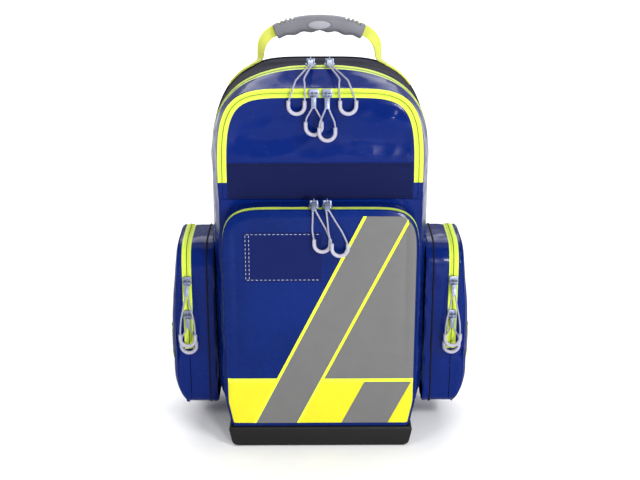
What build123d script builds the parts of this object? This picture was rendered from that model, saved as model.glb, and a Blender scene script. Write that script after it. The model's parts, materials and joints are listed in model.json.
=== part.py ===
from build123d import *
import os
from math import atan2, degrees, hypot

os.makedirs("parts", exist_ok=True)

# Depths are counted forward from the rear face of the back panel, all sizes in mm.
# Depth stack of the pack
panel_depth = 16
main_wall_depth = 102
main_half_tape = 14
lid_wall_thick = 4
front_room = 38
skin = 4
pocket_wall_depth = 25
pocket_half_tape = 6.5
wall = 3
zip_gap = 0.4
main_zip_depth = panel_depth + main_wall_depth
main_gap = main_zip_depth + main_half_tape
lid_front = main_gap + main_half_tape
front_depth = lid_front + lid_wall_thick + front_room
pocket_zip_depth = front_depth + pocket_wall_depth
pocket_gap = pocket_zip_depth + pocket_half_tape
pocket_skin = pocket_gap + pocket_half_tape
pocket_depth = pocket_skin + skin

# Body outlines
body_half = 158
main_half = body_half - 7
upper_half = body_half - 17
pocket_half = body_half - 24
boot_half = body_half - 31
back_top = 524
main_top = back_top + 10
upper_top = back_top - 8
pocket_top = back_top - 166
boot_height = 31
seam = 0.5

# Zips
upper_half_tape = 6
upper_zip_end = pocket_top + 27
main_zip_end = boot_height + 64
pocket_zip_end = boot_height + 119
bead_width = 1.6
bead_height = 1.5

# Lids
strip_height = 50
strip_half = upper_half - 14
strip_thick = 2
band_low = boot_height + 7
band_high = band_low + 65
trim = 0.8
patch_size = (106, 71)
patch_low_left = (29 - pocket_half, pocket_top - 102)
patch_thick = 1.4
bar_top = pocket_top - 8
bar_slope = 0.495
bar_width = 58
bar_gap = 5
left_bar_foot = 42 - pocket_half
short_bar_foot = 30
short_bar_width = 66

# Side pockets
side_low = boot_height - 2
side_top = pocket_top - 76
side_back = panel_depth + 18
side_front = lid_front + 14
side_corner = 26
side_zip_x = body_half + 27
side_half_tape = 6.3
side_reach = side_zip_x + 31

# Sliders and pulls
slider_width = 12
slider_length = 14
plate_thick = 2.6
ride_clear = 0.35
bail_height = 6
wire = 1.1
eye_hole = 1.9
eye_outer = 3.6
eye_thick = 3
tab_width = 7
tab_thick = 2.2
tab_length = 19
cord_r = 1.1
grip_r = 2.7
grip_bend = 10.8
grip_leg = 5
pull_layers = (5.5, 11.5)

# Handle
grip_half = 64
grip_rise = 12
grip_tall = 26
grip_deep = 24
grip_base = back_top + 24
leg_x = grip_half + 22
ribbon = 15
ribbon_thick = 2.5
ribbon_slot = 3
hinge_lift = 2
tab_reach = 36

# Harness
pad_thick = 10
pad_width = 92
pad_centre = 72
pad_low = 190
pad_high = back_top - 84
strap_width = 60
strap_thick = 9
strap_centre = 75
strap_top = back_top - 38
strap_low = 222
strap_out = 36
webbing = 25
webbing_thick = 2
chest_z = back_top - 139
chest_width = 20
socket_reach = 29
plug_body = 20
tongue = 16
buckle_thick = 9
web_cover = 1.8
web_clear = 0.4
hip_low = 70
hip_high = 160
hip_hinge_x = body_half - 30
hip_inner_x = 30
hip_thick = 10
hip_clear = 14
hip_pin = 3

front_reach = pocket_depth + pull_layers[1] + grip_r
back_reach = strap_out + web_cover + webbing_thick
back_y = (front_reach - back_reach) / 2


def front(depth):
    return Plane(origin=(0, back_y - depth, 0), x_dir=(1, 0, 0), z_dir=(0, -1, 0))


def side(x):
    return Plane(origin=(x, back_y, 0), x_dir=(0, -1, 0), z_dir=(-1, 0, 0))


def outline(points, radii):
    other_side = [(-x, z) for x, z in reversed(points)]
    return make_face(FilletPolyline(*(points + other_side), radius=radii + radii[::-1], close=True))


def inset(face, amount):
    return offset(face, amount=-amount) if amount else face


def plate(face, near, far):
    return extrude(front(near) * face, amount=far - near)


def ring(face, near, far, outer, inner):
    return plate(inset(face, outer), near, far) - plate(inset(face, inner), near, far)


def lofted(first, second, near, far):
    return loft([front(near) * first, front(far) * second], ruled=True)


def block(x0, x1, depth0, depth1, z0, z1):
    size = (abs(x1 - x0), abs(depth1 - depth0), abs(z1 - z0))
    middle = ((x0 + x1) / 2, back_y - (depth0 + depth1) / 2, (z0 + z1) / 2)
    return Pos(*middle) * Box(*size)


def above(solid, z):
    return solid & block(-400, 400, -200, 400, z, 900)


def below(solid, z):
    return solid & block(-400, 400, -200, 400, -100, z)


def mirrored(solid):
    return mirror(solid, about=Plane.YZ)


parts = {}


def keep(name, *solids):
    parts[name] = solids[0] if len(solids) == 1 else Compound(children=list(solids))


base = boot_height
body_radii = [22, 60, 60, 40, 60]
back_face = outline(
    [(body_half - 22, base), (body_half, base + 36), (body_half, back_top - 96),
     (body_half - 25, back_top - 31), (body_half - 70, back_top)],
    body_radii,
)
main_face = outline(
    [(main_half - 18, base), (main_half, base + 30), (main_half, main_top - 72),
     (main_half - 32, main_top - 22), (main_half - 98, main_top)],
    body_radii,
)
upper_face = outline(
    [(upper_half - 10, base), (upper_half, base + 30), (upper_half, upper_top - 62),
     (upper_half - 12, upper_top - 14), (upper_half - 40, upper_top)],
    [16, 60, 50, 22, 40],
)
pocket_face = outline(
    [(pocket_half - 8, base), (pocket_half, base + 40), (pocket_half, pocket_top - 24),
     (pocket_half - 7, pocket_top - 7), (pocket_half - 24, pocket_top)],
    [10, 60, 12, 12, 12],
)
boot_face = outline([(boot_half, 0), (boot_half + 6, boot_height)], [10, 6])

# Back panel and main compartment
keep("back_panel", plate(back_face, 0, panel_depth))
rear_shell = (
    lofted(back_face, main_face, panel_depth, main_zip_depth)
    - lofted(inset(back_face, wall), inset(main_face, wall), panel_depth, main_zip_depth)
)
rear_tape = ring(main_face, main_zip_depth, main_gap - zip_gap / 2, 0, wall)
rear_bead = ring(main_face, main_gap - zip_gap / 2 - bead_width, main_gap - zip_gap / 2, -bead_height, 0)
keep("rear_gusset", rear_shell + below(rear_tape, main_zip_end))
keep("main_zip_rear", above(rear_tape + rear_bead, main_zip_end))
keep("rear_boot", plate(boot_face, 0, main_gap - zip_gap / 2))

# Lid with its inner wall, front compartment and pocket walls
front_tape = ring(main_face, main_gap + zip_gap / 2, lid_front, 0, wall)
front_bead = ring(main_face, main_gap + zip_gap / 2, main_gap + zip_gap / 2 + bead_width, -bead_height, 0)
keep("main_zip_front", above(front_tape + front_bead, main_zip_end))
keep("lid_wall", plate(main_face, lid_front, lid_front + lid_wall_thick) + below(front_tape, main_zip_end))
front_skin = front_depth - skin
front_shell = (
    lofted(main_face, upper_face, lid_front + lid_wall_thick, front_skin)
    - lofted(inset(main_face, wall), inset(upper_face, wall), lid_front + lid_wall_thick, front_skin)
)
lid_hinge_z = pocket_top + 3.5
upper_tape = 2 * upper_half_tape + zip_gap
front_rim = ring(upper_face, front_skin, front_depth, 0, upper_half_tape)
front_low = below(plate(upper_face, front_skin, front_depth), lid_hinge_z - seam)
sill = block(-400, 400, front_skin, front_depth, lid_hinge_z - seam - 1, upper_zip_end)
front_side = ring(upper_face, front_skin, front_depth, 0, upper_half_tape) & sill
keep("front_gusset", front_shell + front_low + front_side)
upper_bead_rear = ring(upper_face, front_depth, front_depth + bead_height,
                       upper_half_tape - bead_width, upper_half_tape)
keep("upper_zip_rear", above(front_rim + upper_bead_rear, upper_zip_end))
keep("front_boot", plate(boot_face, main_gap + zip_gap / 2, pocket_depth))
pocket_wall = ring(pocket_face, front_depth, pocket_zip_depth, 0, wall)
pocket_rear = ring(pocket_face, pocket_zip_depth, pocket_gap - zip_gap / 2, 0, wall)
pocket_rear_bead = ring(pocket_face, pocket_gap - zip_gap / 2 - bead_width, pocket_gap - zip_gap / 2,
                        -bead_height, 0)
keep("pocket_gusset", pocket_wall + below(pocket_rear, pocket_zip_end))
keep("pocket_zip_rear", above(pocket_rear + pocket_rear_bead, pocket_zip_end))

# Upper lid
inner_edge = upper_half_tape + zip_gap
lid_tape = ring(upper_face, front_skin, front_depth, inner_edge, upper_tape)
lid_bead = ring(upper_face, front_depth, front_depth + bead_height, inner_edge, inner_edge + bead_width)
keep("upper_zip_front", above(lid_tape + lid_bead, upper_zip_end))
lid_skin = above(plate(inset(upper_face, upper_tape), front_skin, front_depth), lid_hinge_z)
lid_ears = above(below(lid_tape, upper_zip_end), lid_hinge_z)
keep("upper_panel", lid_skin + lid_ears)
strip_low = lid_hinge_z + 1
keep("loop_strip", block(-strip_half, strip_half, front_depth, front_depth + strip_thick,
                         strip_low, strip_low + strip_height))

# Pocket lid
pocket_front = ring(pocket_face, pocket_gap + zip_gap / 2, pocket_skin, 0, wall)
pocket_front_bead = ring(pocket_face, pocket_gap + zip_gap / 2, pocket_gap + zip_gap / 2 + bead_width,
                         -bead_height, 0)
keep("pocket_zip_front", above(pocket_front + pocket_front_bead, pocket_zip_end))
pocket_skirt = plate(pocket_face, pocket_skin, pocket_depth) + below(pocket_front, pocket_zip_end)
keep("pocket_panel", above(pocket_skirt, boot_height + seam))


def slanted(foot, width, z0, z1):
    shift = bar_slope * (z1 - z0)
    points = [(foot, z0), (foot + width, z0), (foot + width + shift, z1), (foot + shift, z1)]
    return make_face(Polyline(*points, close=True))


def foot_at(foot, z):
    return foot + bar_slope * (z - band_low)


safe_pocket = inset(pocket_face, 3)
left_bar = slanted(left_bar_foot, bar_width, band_low, bar_top) & safe_pocket
right_foot = foot_at(left_bar_foot, band_high + bar_gap) + bar_width + bar_gap
right_bar = slanted(right_foot, bar_width, band_high + bar_gap, bar_top) & safe_pocket
short_bar = slanted(short_bar_foot, short_bar_width, band_low, band_high) & safe_pocket
keep("reflective_bars", *[plate(bar, pocket_depth, pocket_depth + trim)
                          for bar in (left_bar, right_bar, short_bar)])
band_face = safe_pocket & make_face(
    Polyline((-400, band_low), (400, band_low), (400, band_high), (-400, band_high), close=True)
)
band = plate(band_face, pocket_depth, pocket_depth + trim)
for bar in (left_bar, short_bar):
    band -= plate(bar, pocket_depth - 1, pocket_depth + trim + 1)
keep("fluorescent_band", *band.solids())
patch_x, patch_z = patch_low_left
keep("name_patch", block(patch_x, patch_x + patch_size[0], pocket_depth, pocket_depth + patch_thick,
                         patch_z, patch_z + patch_size[1]))


# Side pockets: a shell against the pack, two zip halves and an outer cover
def side_outline(amount):
    width = side_front - side_back
    height = side_top - side_low
    middle = ((side_front + side_back) / 2, (side_top + side_low) / 2)
    shape = RectangleRounded(width - 2 * amount, height - 2 * amount, side_corner - amount)
    return Pos(*middle) * shape


def side_prism(amount, x0, x1):
    return extrude(side(-x0) * side_outline(amount), amount=x1 - x0)


def side_ring(x0, x1, outer=0, inner=wall):
    return side_prism(outer, x0, x1) - side_prism(inner, x0, x1)


side_gap_x = side_zip_x + side_half_tape
side_wall_x = body_half + wall
side_shell = side_ring(side_wall_x, side_zip_x) + side_prism(0, body_half, side_wall_x)
pack_core = lofted(back_face, main_face, panel_depth, main_zip_depth)
side_web = side_prism(0, main_half - 12, body_half) & block(-400, 0, side_back, main_zip_depth - 2, 0, 900)
side_shell += side_web - pack_core
side_bead = side_ring(side_gap_x - zip_gap / 2 - bead_width, side_gap_x - zip_gap / 2, -bead_height, wall)
side_tape = side_ring(side_zip_x, side_gap_x - zip_gap / 2) + side_bead
side_zip_low = side_low + 94
cover_start = side_gap_x + zip_gap / 2
cover_box = side_prism(0, cover_start, side_reach)
cover_edges = cover_box.faces().sort_by(Axis.X)[0].edges()
cover_box = fillet(cover_edges, 12)
cover = cover_box - side_prism(wall, cover_start - 1, side_reach - wall - 8)
cover_bead = above(side_ring(cover_start, cover_start + bead_width, -bead_height, 0), side_zip_low)
cover += cover_bead
for name, turn in (("left", lambda s: s), ("right", mirrored)):
    keep(name + "_side_shell", turn(side_shell + below(side_ring(side_zip_x, side_gap_x - zip_gap / 2),
                                                     side_zip_low)))
    keep(name + "_side_zip", turn(above(side_tape, side_zip_low)))
    keep(name + "_side_cover", turn(cover))


# Sliders: a plate over the teeth, one flange on the tape that carries it, and a bail
def slider(flange_side):
    lift = bead_height + ride_clear
    body = Pos(0, 0, lift + plate_thick / 2) * Box(slider_length, slider_width, plate_thick)
    body = fillet(body.edges().filter_by(Axis.Z), 3)
    flange_width = slider_width / 2 - zip_gap / 2 - bead_width - ride_clear
    flange_y = flange_side * (slider_width / 2 - flange_width / 2)
    flange = Pos(0, flange_y, (lift + ride_clear) / 2 + 0.3) * Box(slider_length - 6, flange_width, lift)
    return body + flange


def bail(spread):
    top = bail_height + bead_height + ride_clear + plate_thick
    low = bead_height + ride_clear + plate_thick - 0.6
    bar = Pos(0, 0, top) * Rot(0, 90, 0) * Cylinder(wire, 2 * spread + 2 * wire)
    posts = [Pos(s * spread, 0, (low + top) / 2) * Box(2 * wire, 2 * wire, top - low + wire)
             for s in (-1, 1)]
    return bar + posts[0] + posts[1]


bail_z = bail_height + bead_height + ride_clear + plate_thick


def tube(points, radius, bends):
    path = FilletPolyline(*points, radius=bends) if len(points) > 2 else Line(*points)
    start = Plane(origin=path @ 0, z_dir=path % 0)
    return sweep(start * Circle(radius), path=path)


def pull(eye, slope, bend, grip):
    """eye, bend and grip are (x, depth, z); slope is the (depth, z) direction of the tab."""
    def at(x, depth, z):
        return Vector(x, back_y - depth, z)

    run = hypot(*slope)
    ahead = (slope[0] / run, slope[1] / run)
    tilt = degrees(atan2(-ahead[1], ahead[0]))
    ex, ed, ez = eye
    ring_solid = Pos(*at(*eye)) * Rot(0, 90, 0) * (Cylinder(eye_outer, eye_thick) - Cylinder(eye_hole, 9))
    middle = (eye_hole + 0.9 + tab_length) / 2
    length = tab_length - eye_hole - 0.9
    tab = Box(tab_width, length, tab_thick)
    tab = fillet(tab.edges().filter_by(Axis.Z), 2.4)
    tab = Pos(*at(ex, ed + ahead[0] * middle, ez + ahead[1] * middle)) * Rot(tilt, 0, 0) * tab
    end = (ex, ed + ahead[0] * (tab_length - 2), ez + ahead[1] * (tab_length - 2))
    gx, gd, gz = grip
    body = ring_solid + tab
    for s in (-1, 1):
        top = at(gx + s * grip_bend, gd, gz + grip_leg)
        start = at(end[0] + s * 1.6, end[1], end[2])
        points = [start]
        bends = []
        if bend:
            points.append(at(bend[0] + s * 6, bend[1], bend[2]))
            bends.append(7)
        points.append(top)
        points.append(at(gx + s * grip_bend, gd, gz))
        bends.append(6)
        body += tube(points, cord_r, bends)
        body += Pos(gx + s * grip_bend, back_y - gd, gz + grip_leg / 2) * Cylinder(grip_r, grip_leg)
    arc = CenterArc((0, 0), grip_bend, 180, 180)
    arc = front(gd) * Pos(gx, gz) * arc
    body += sweep(Plane(origin=arc @ 0, z_dir=arc % 0) * Circle(grip_r), path=arc)
    return body


# Main zip runs over the top: sliders stand on the tape and the pulls drape over the front edge
def on_top(x, depth, z, flange_side):
    return Pos(x, back_y - depth, z) * (slider(flange_side) + bail(4.4))


def on_front(x, depth, z, flange_side):
    local = Plane(origin=(x, back_y - depth, z), x_dir=(1, 0, 0), z_dir=(0, -1, 0))
    return local * (slider(flange_side) + bail(4.4))


def on_side_zip(x, depth, z, flange_side):
    local = Plane(origin=(x, back_y - depth, z), x_dir=(0, 0, 1), z_dir=(0, -1, 0))
    across = Plane(origin=(x, back_y - depth, z), x_dir=(1, 0, 0), z_dir=(0, -1, 0))
    return local * slider(flange_side) + across * bail(4.4)


main_x = (-13, 13)
main_grip_x = (-32, 37)
for name, x, gx in zip(("left", "right"), main_x, main_grip_x):
    keep("main_slider_" + name, on_top(x, main_gap, main_top, -1))
    eye = (x, main_gap, main_top + bail_z)
    edge = (x + (gx - x) * 0.75, front_depth + 6, upper_top + 10)
    slope = (edge[1] - eye[1], edge[2] - eye[2])
    grip = (gx, front_depth + 8.5, upper_top - 22)
    keep("main_pull_" + name, pull(eye, slope, edge, grip))

upper_zip_z = upper_top - upper_half_tape - zip_gap / 2
upper_x = (-9, 9)
upper_grip = ((-9, front_depth + 11.5, upper_top - 50), (9, front_depth + 19, upper_top - 56))
for name, x, grip in zip(("left", "right"), upper_x, upper_grip):
    keep("upper_slider_" + name, on_front(x, front_depth, upper_zip_z, -1))
    eye = (x, front_depth + bail_z, upper_zip_z)
    keep("upper_pull_" + name, pull(eye, (0 if grip[0] < 0 else 4.5, -20), None, grip))

pocket_x = (-9, 9)
pocket_grip = ((2, pocket_depth + pull_layers[0], pocket_top - 46),
               (26, pocket_depth + pull_layers[1], pocket_top - 50))
for name, x, grip in zip(("left", "right"), pocket_x, pocket_grip):
    keep("pocket_slider_" + name, on_top(x, pocket_gap, pocket_top, -1))
    eye = (x, pocket_gap, pocket_top + bail_z)
    keep("pocket_pull_" + name, pull(eye, (16, -8), None, grip))

side_zs = (side_top - 52, side_top - 104)
side_grips = ((side_zs[0] - 84, 18.5), (side_zs[1] - 47, 8.5))
for name, s in (("left", -1), ("right", 1)):
    for level, z, (gz, out) in zip(("high", "low"), side_zs, side_grips):
        x = s * side_gap_x
        keep(name + "_side_slider_" + level, on_side_zip(x, side_front, z, -s))
        eye = (x, side_front + bail_z, z)
        slope = (6 if level == "high" else -1.5, -20)
        keep(name + "_side_pull_" + level, pull(eye, slope, None, (x, side_front + out, gz)))

# Handle: a webbing bow with a moulded grip on it, folding about its sewn ends
middle_depth = panel_depth / 2
hinge_z = back_top + hinge_lift
bow_z = grip_base + grip_tall / 2
bow = Spline(
    (-leg_x, hinge_z + 1), (-leg_x + 4, hinge_z + 18), (-grip_half - 3, bow_z - 3), (0, bow_z + grip_rise),
    (grip_half + 3, bow_z - 3), (leg_x - 4, hinge_z + 18), (leg_x, hinge_z + 1),
)
bow_face = trace(bow, line_width=ribbon)
keep("handle_webbing", plate(bow_face, middle_depth - ribbon_thick / 2, middle_depth + ribbon_thick / 2))
grip_line = ThreePointArc((-grip_half, grip_base + grip_tall / 2), (0, bow_z + grip_rise),
                          (grip_half, grip_base + grip_tall / 2))
grip_solid = plate(trace(grip_line, line_width=grip_tall), middle_depth - grip_deep / 2,
                   middle_depth + grip_deep / 2)
long_edges = grip_solid.edges().filter_by(GeomType.CIRCLE)
grip_solid = fillet(long_edges, 7)
grip_solid -= plate(trace(bow, line_width=ribbon + 0.2), middle_depth - ribbon_slot / 2,
                    middle_depth + ribbon_slot / 2)
keep("handle_grip", grip_solid)
tab_shell = plate(inset(back_face, -2), 0, panel_depth) - plate(back_face, -1, panel_depth + 1)
tabs = [tab_shell & block(leg_x + 9, leg_x + 9 + tab_reach, -5, 40, 400, 600),
        tab_shell & block(-leg_x - 9 - tab_reach, -leg_x - 9, -5, 40, 400, 600)]
keep("handle_tabs", *tabs)

# Harness behind the back panel
pads = [fillet(block(s * pad_centre - pad_width / 2, s * pad_centre + pad_width / 2, -pad_thick, 0,
                     pad_low, pad_high).edges().filter_by(Axis.Y), 18) for s in (-1, 1)]
keep("back_pads", *pads)
strap_path = [(0, strap_top), (-strap_out + strap_thick + 6, strap_top - 16),
              (-strap_out + strap_thick, strap_top - 100), (-strap_out + strap_thick, strap_low + 60),
              (-strap_out + strap_thick + 4, strap_low)]
strap_back = [(-strap_out + 4, strap_low), (-strap_out, strap_low + 60), (-strap_out, strap_top - 100),
              (-strap_out + 6, strap_top - 10), (0, strap_top + strap_thick + 4)]
strap_face = make_face(Polyline(*(strap_path + strap_back), close=True))
for name, s in (("left", -1), ("right", 1)):
    x0 = s * strap_centre + strap_width / 2
    keep("shoulder_strap_" + name, extrude(side(x0) * strap_face, amount=strap_width))
locks = []
lower = []
tail_depth = -strap_out + strap_thick / 2 + 4
for s in (-1, 1):
    x0 = s * strap_centre - webbing / 2
    x1 = s * strap_centre + webbing / 2
    frame = block(x0 - 4, x1 + 4, tail_depth - 3.5, tail_depth + 3.5, strap_low - 20, strap_low)
    frame -= block(x0 - 0.4, x1 + 0.4, tail_depth - webbing_thick / 2 - 0.4,
                   tail_depth + webbing_thick / 2 + 0.4, strap_low - 21, strap_low - 4)
    locks.append(frame)
    slack = [(tail_depth - 1, strap_low - 5), (tail_depth + 1, strap_low - 5),
             (tail_depth + 1, strap_low - 24), (0, strap_low - 42), (0, strap_low - 46),
             (tail_depth - 1, strap_low - 27)]
    lower.append(extrude(side(x1) * make_face(Polyline(*slack, close=True)), amount=webbing))
keep("ladder_locks", *locks)
keep("strap_webbing", *lower)

# Chest strap: its webbing lies on the straps, the plug rides on it and draws out of the socket
cz0 = chest_z - chest_width / 2
cz1 = chest_z + chest_width / 2
b0 = -strap_out
b1 = -strap_out + buckle_thick
web_out = -strap_out - webbing_thick
socket_start = -socket_reach
left_web = block(-strap_centre, socket_start + 8, web_out, b0, cz0, cz1)
right_web = block(8, strap_centre, web_out, b0, cz0, cz1)
keep("chest_webbing", left_web, right_web)
socket = block(socket_start, 0, b0, b1, cz0 - 4, cz1 + 4)
socket -= block(-tongue - 3, 1, b0 + 2, b1 - 2, cz0 - 1, cz1 + 1)
keep("chest_socket", socket)
plug = block(seam, plug_body, web_out - web_cover, b1, cz0 - 4, cz1 + 4)
plug -= block(-1, plug_body + 1, web_out - web_clear, b0 + web_clear, cz0 - web_clear, cz1 + web_clear)
for low, high in ((cz0 - 0.6, cz0 + 5), (cz1 - 5, cz1 + 0.6)):
    plug += block(-tongue, seam + 1, b0 + 2.4, b1 - 2.4, low, high)
keep("chest_plug", plug)

# Hip wings folded in behind the lumbar area, each with one half of the buckle
hip_back = -hip_clear - hip_thick
hip_mid = (hip_low + hip_high) / 2
for name, s in (("left", -1), ("right", 1)):
    wing_face = make_face(Polyline(
        (s * hip_hinge_x, hip_low), (s * hip_hinge_x, hip_high), (s * hip_inner_x, hip_mid + 24),
        (s * hip_inner_x, hip_mid - 24), close=True))
    root_x = s * (hip_hinge_x - hip_pin)
    pin = Pos(root_x, back_y + hip_pin + seam, hip_mid) * Cylinder(hip_pin, hip_high - hip_low)
    leg = block(root_x - hip_pin, root_x + hip_pin, -hip_clear - 1, -hip_pin - seam, hip_low, hip_high)
    keep("hip_wing_" + name, plate(wing_face, hip_back, -hip_clear) + leg + pin)
buckle_mid = (hip_back - hip_clear) / 2
hip_socket = block(-hip_inner_x, -2, buckle_mid - 5, buckle_mid + 5, hip_mid - 20, hip_mid + 20)
hip_socket -= block(-20, -1, buckle_mid - 3, buckle_mid + 3, hip_mid - 15, hip_mid + 15)
keep("hip_socket", hip_socket)
hip_plug = block(18, hip_inner_x, buckle_mid - 5, buckle_mid + 5, hip_mid - 20, hip_mid + 20)
for s in (-1, 1):
    middle = hip_mid + s * 14
    hip_plug += block(2, 19, buckle_mid - 2.5, buckle_mid + 2.5, middle - 4, middle + 4)
keep("hip_plug", hip_plug)

for name, solid in parts.items():
    export_step(solid, "parts/" + name + ".step")
print(len(parts), "nodes")
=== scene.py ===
import bpy
import json
from math import cos, exp, pi, radians, sin, sqrt, tan
from mathutils import Matrix, Vector, noise


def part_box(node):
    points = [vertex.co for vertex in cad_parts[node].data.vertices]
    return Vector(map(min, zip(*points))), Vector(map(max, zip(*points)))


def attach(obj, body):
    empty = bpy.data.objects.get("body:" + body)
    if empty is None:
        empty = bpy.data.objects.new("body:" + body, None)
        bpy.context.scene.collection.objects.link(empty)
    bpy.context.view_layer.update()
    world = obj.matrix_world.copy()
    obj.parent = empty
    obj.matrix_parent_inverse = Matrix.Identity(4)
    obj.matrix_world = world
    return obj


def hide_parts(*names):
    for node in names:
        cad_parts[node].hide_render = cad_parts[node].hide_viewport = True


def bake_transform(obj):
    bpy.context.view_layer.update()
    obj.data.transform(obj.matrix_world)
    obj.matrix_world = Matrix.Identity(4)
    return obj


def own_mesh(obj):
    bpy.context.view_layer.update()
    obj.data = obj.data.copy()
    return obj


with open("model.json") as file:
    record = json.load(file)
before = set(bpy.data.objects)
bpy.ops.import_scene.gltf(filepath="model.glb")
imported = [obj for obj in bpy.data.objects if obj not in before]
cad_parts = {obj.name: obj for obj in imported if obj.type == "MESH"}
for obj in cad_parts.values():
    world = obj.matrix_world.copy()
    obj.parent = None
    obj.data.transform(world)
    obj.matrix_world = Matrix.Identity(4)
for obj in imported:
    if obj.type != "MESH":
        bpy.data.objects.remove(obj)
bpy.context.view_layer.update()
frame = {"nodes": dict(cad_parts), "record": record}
mm = 0.001

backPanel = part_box("back_panel")
backY = backPanel[1][1]        # rear face of the back panel
backHalf = backPanel[1][0]
backTop = backPanel[1][2]
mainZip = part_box("main_zip_front")
mainTop = mainZip[1][2] - 1.5 * mm
mainHalf = mainZip[1][0] - 1.5 * mm
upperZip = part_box("upper_zip_rear")
upperTop = upperZip[1][2]
upperHalf = upperZip[1][0]
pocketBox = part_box("pocket_panel")
pocketHalf = pocketBox[1][0]
pocketTop = pocketBox[1][2]
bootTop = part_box("rear_boot")[1][2]


def clearSelection():
    if bpy.context.object and bpy.context.object.mode != "OBJECT":
        bpy.ops.object.mode_set(mode="OBJECT")
    bpy.ops.object.select_all(action="DESELECT")


def pick(piece):
    clearSelection()
    piece.select_set(True)
    bpy.context.view_layer.objects.active = piece


def applyAll(piece):
    pick(piece)
    for modifier in list(piece.modifiers):
        bpy.ops.object.modifier_apply(modifier=modifier.name)


def settle(piece):
    pick(piece)
    bpy.ops.object.transform_apply(location=True, rotation=True, scale=True)


def weld(piece, distance=0.00005):
    pick(piece)
    bpy.ops.object.mode_set(mode="EDIT")
    bpy.ops.mesh.select_all(action="SELECT")
    bpy.ops.mesh.remove_doubles(threshold=distance)
    bpy.ops.mesh.normals_make_consistent(inside=False)
    bpy.ops.object.mode_set(mode="OBJECT")


def flip(piece):
    pick(piece)
    bpy.ops.object.mode_set(mode="EDIT")
    bpy.ops.mesh.select_all(action="SELECT")
    bpy.ops.mesh.flip_normals()
    bpy.ops.object.mode_set(mode="OBJECT")


def faceOut(piece, centre):
    if sum(face.normal.dot(face.center - Vector(centre)) * face.area for face in piece.data.polygons) < 0:
        flip(piece)


def smooth(piece, angle=40):
    pick(piece)
    bpy.ops.object.shade_smooth_by_angle(angle=radians(angle))


def solidify(piece, thickness, offset=-1):
    wall = piece.modifiers.new("wall", "SOLIDIFY")
    wall.thickness = thickness
    wall.offset = offset
    applyAll(piece)


def subdivide(piece, levels=1):
    sub = piece.modifiers.new("sub", "SUBSURF")
    sub.levels = levels
    sub.render_levels = levels
    applyAll(piece)


def dress(piece, material):
    piece.data.materials.clear()
    piece.data.materials.append(material)


def finishPiece(piece, material, body, nodes=(), slot=None, angle=40):
    dress(piece, material)
    smooth(piece, angle)
    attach(piece, body)
    if nodes:
        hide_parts(*nodes)
    return piece


def gridPiece(name, across, along, place):
    clearSelection()
    bpy.ops.mesh.primitive_grid_add(x_subdivisions=across, y_subdivisions=along, size=1)
    piece = bpy.context.object
    piece.name = name
    for point in piece.data.vertices:
        point.co = place(point.co.x + 0.5, point.co.y + 0.5)
    piece.data.update()
    return piece


def block(name, low, high, bevel=0.0, segments=2):
    clearSelection()
    middle = [(a + b) / 2 for a, b in zip(low, high)]
    bpy.ops.mesh.primitive_cube_add(size=1, location=middle)
    piece = bpy.context.object
    piece.name = name
    piece.scale = [b - a for a, b in zip(low, high)]
    settle(piece)
    if bevel:
        edge = piece.modifiers.new("edge", "BEVEL")
        edge.width = bevel
        edge.segments = segments
        applyAll(piece)
    return piece


def tube(name, points, radius, cyclic=False, resolution=4, smoothLine=True):
    line = bpy.data.curves.new(name, "CURVE")
    line.dimensions = "3D"
    line.bevel_depth = radius
    line.bevel_resolution = resolution
    line.resolution_u = 8
    line.use_fill_caps = True
    spline = line.splines.new("NURBS" if smoothLine else "POLY")
    spline.points.add(len(points) - 1)
    for point, place in zip(spline.points, points):
        point.co = (*place, 1)
    if smoothLine:
        spline.order_u = 3
        spline.use_endpoint_u = not cyclic
    spline.use_cyclic_u = cyclic
    piece = bpy.data.objects.new(name, line)
    bpy.context.scene.collection.objects.link(piece)
    pick(piece)
    bpy.ops.object.convert(target="MESH")
    weld(piece, 0.00001)
    return piece


def joined(name, pieces):
    clearSelection()
    for piece in pieces:
        piece.select_set(True)
    bpy.context.view_layer.objects.active = pieces[0]
    bpy.ops.object.join()
    piece = bpy.context.object
    piece.name = name
    return piece


def eased(loop, reach=4, passes=3):
    # the sewn upper corners run rounder than plain arcs; the foot keeps its shape for the boot
    for _ in range(passes):
        mean = [sum((loop[(i + k) % len(loop)] for k in range(-reach, reach + 1)), Vector((0, 0))) / (2 * reach + 1)
                for i in range(len(loop))]
        high = max(p.y for p in loop)
        loop = [p.lerp(m, 0.8 * min(1.0, max(0.0, (p.y - high * 0.55) / (high * 0.2)))) for p, m in zip(loop, mean)]
    return loop


def roundedLoop(points, radii, count):
    full = points + [(-x, z) for x, z in reversed(points)]
    rounds = radii + radii[::-1]
    dense = []
    for i, corner in enumerate(full):
        here = Vector(corner)
        before = (Vector(full[i - 1]) - here).normalized()
        after = (Vector(full[(i + 1) % len(full)]) - here).normalized()
        turn = before.angle(after)
        reach = min(rounds[i] / tan(turn / 2), 0.48 * (Vector(full[i - 1]) - here).length,
                    0.48 * (Vector(full[(i + 1) % len(full)]) - here).length)
        start = here + before * reach
        end = here + after * reach
        for k in range(9):
            t = k / 8
            dense.append(start * (1 - t) ** 2 + here * 2 * t * (1 - t) + end * t * t)
    lengths = [0.0]
    ringPoints = dense + [dense[0]]
    for a, b in zip(ringPoints, ringPoints[1:]):
        lengths.append(lengths[-1] + (b - a).length)
    total = lengths[-1]
    # the loop starts at the bottom centre and goes up the right side
    bottomOffset = total - (dense[0] - Vector((0, dense[0].y))).length
    result = []
    for k in range(count):
        want = (bottomOffset + total * k / count) % total
        index = max(i for i in range(len(lengths) - 1) if lengths[i] <= want + 1e-12)
        span = lengths[index + 1] - lengths[index]
        t = (want - lengths[index]) / span if span else 0
        result.append(ringPoints[index].lerp(ringPoints[index + 1], t))
    return eased(result)


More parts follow.
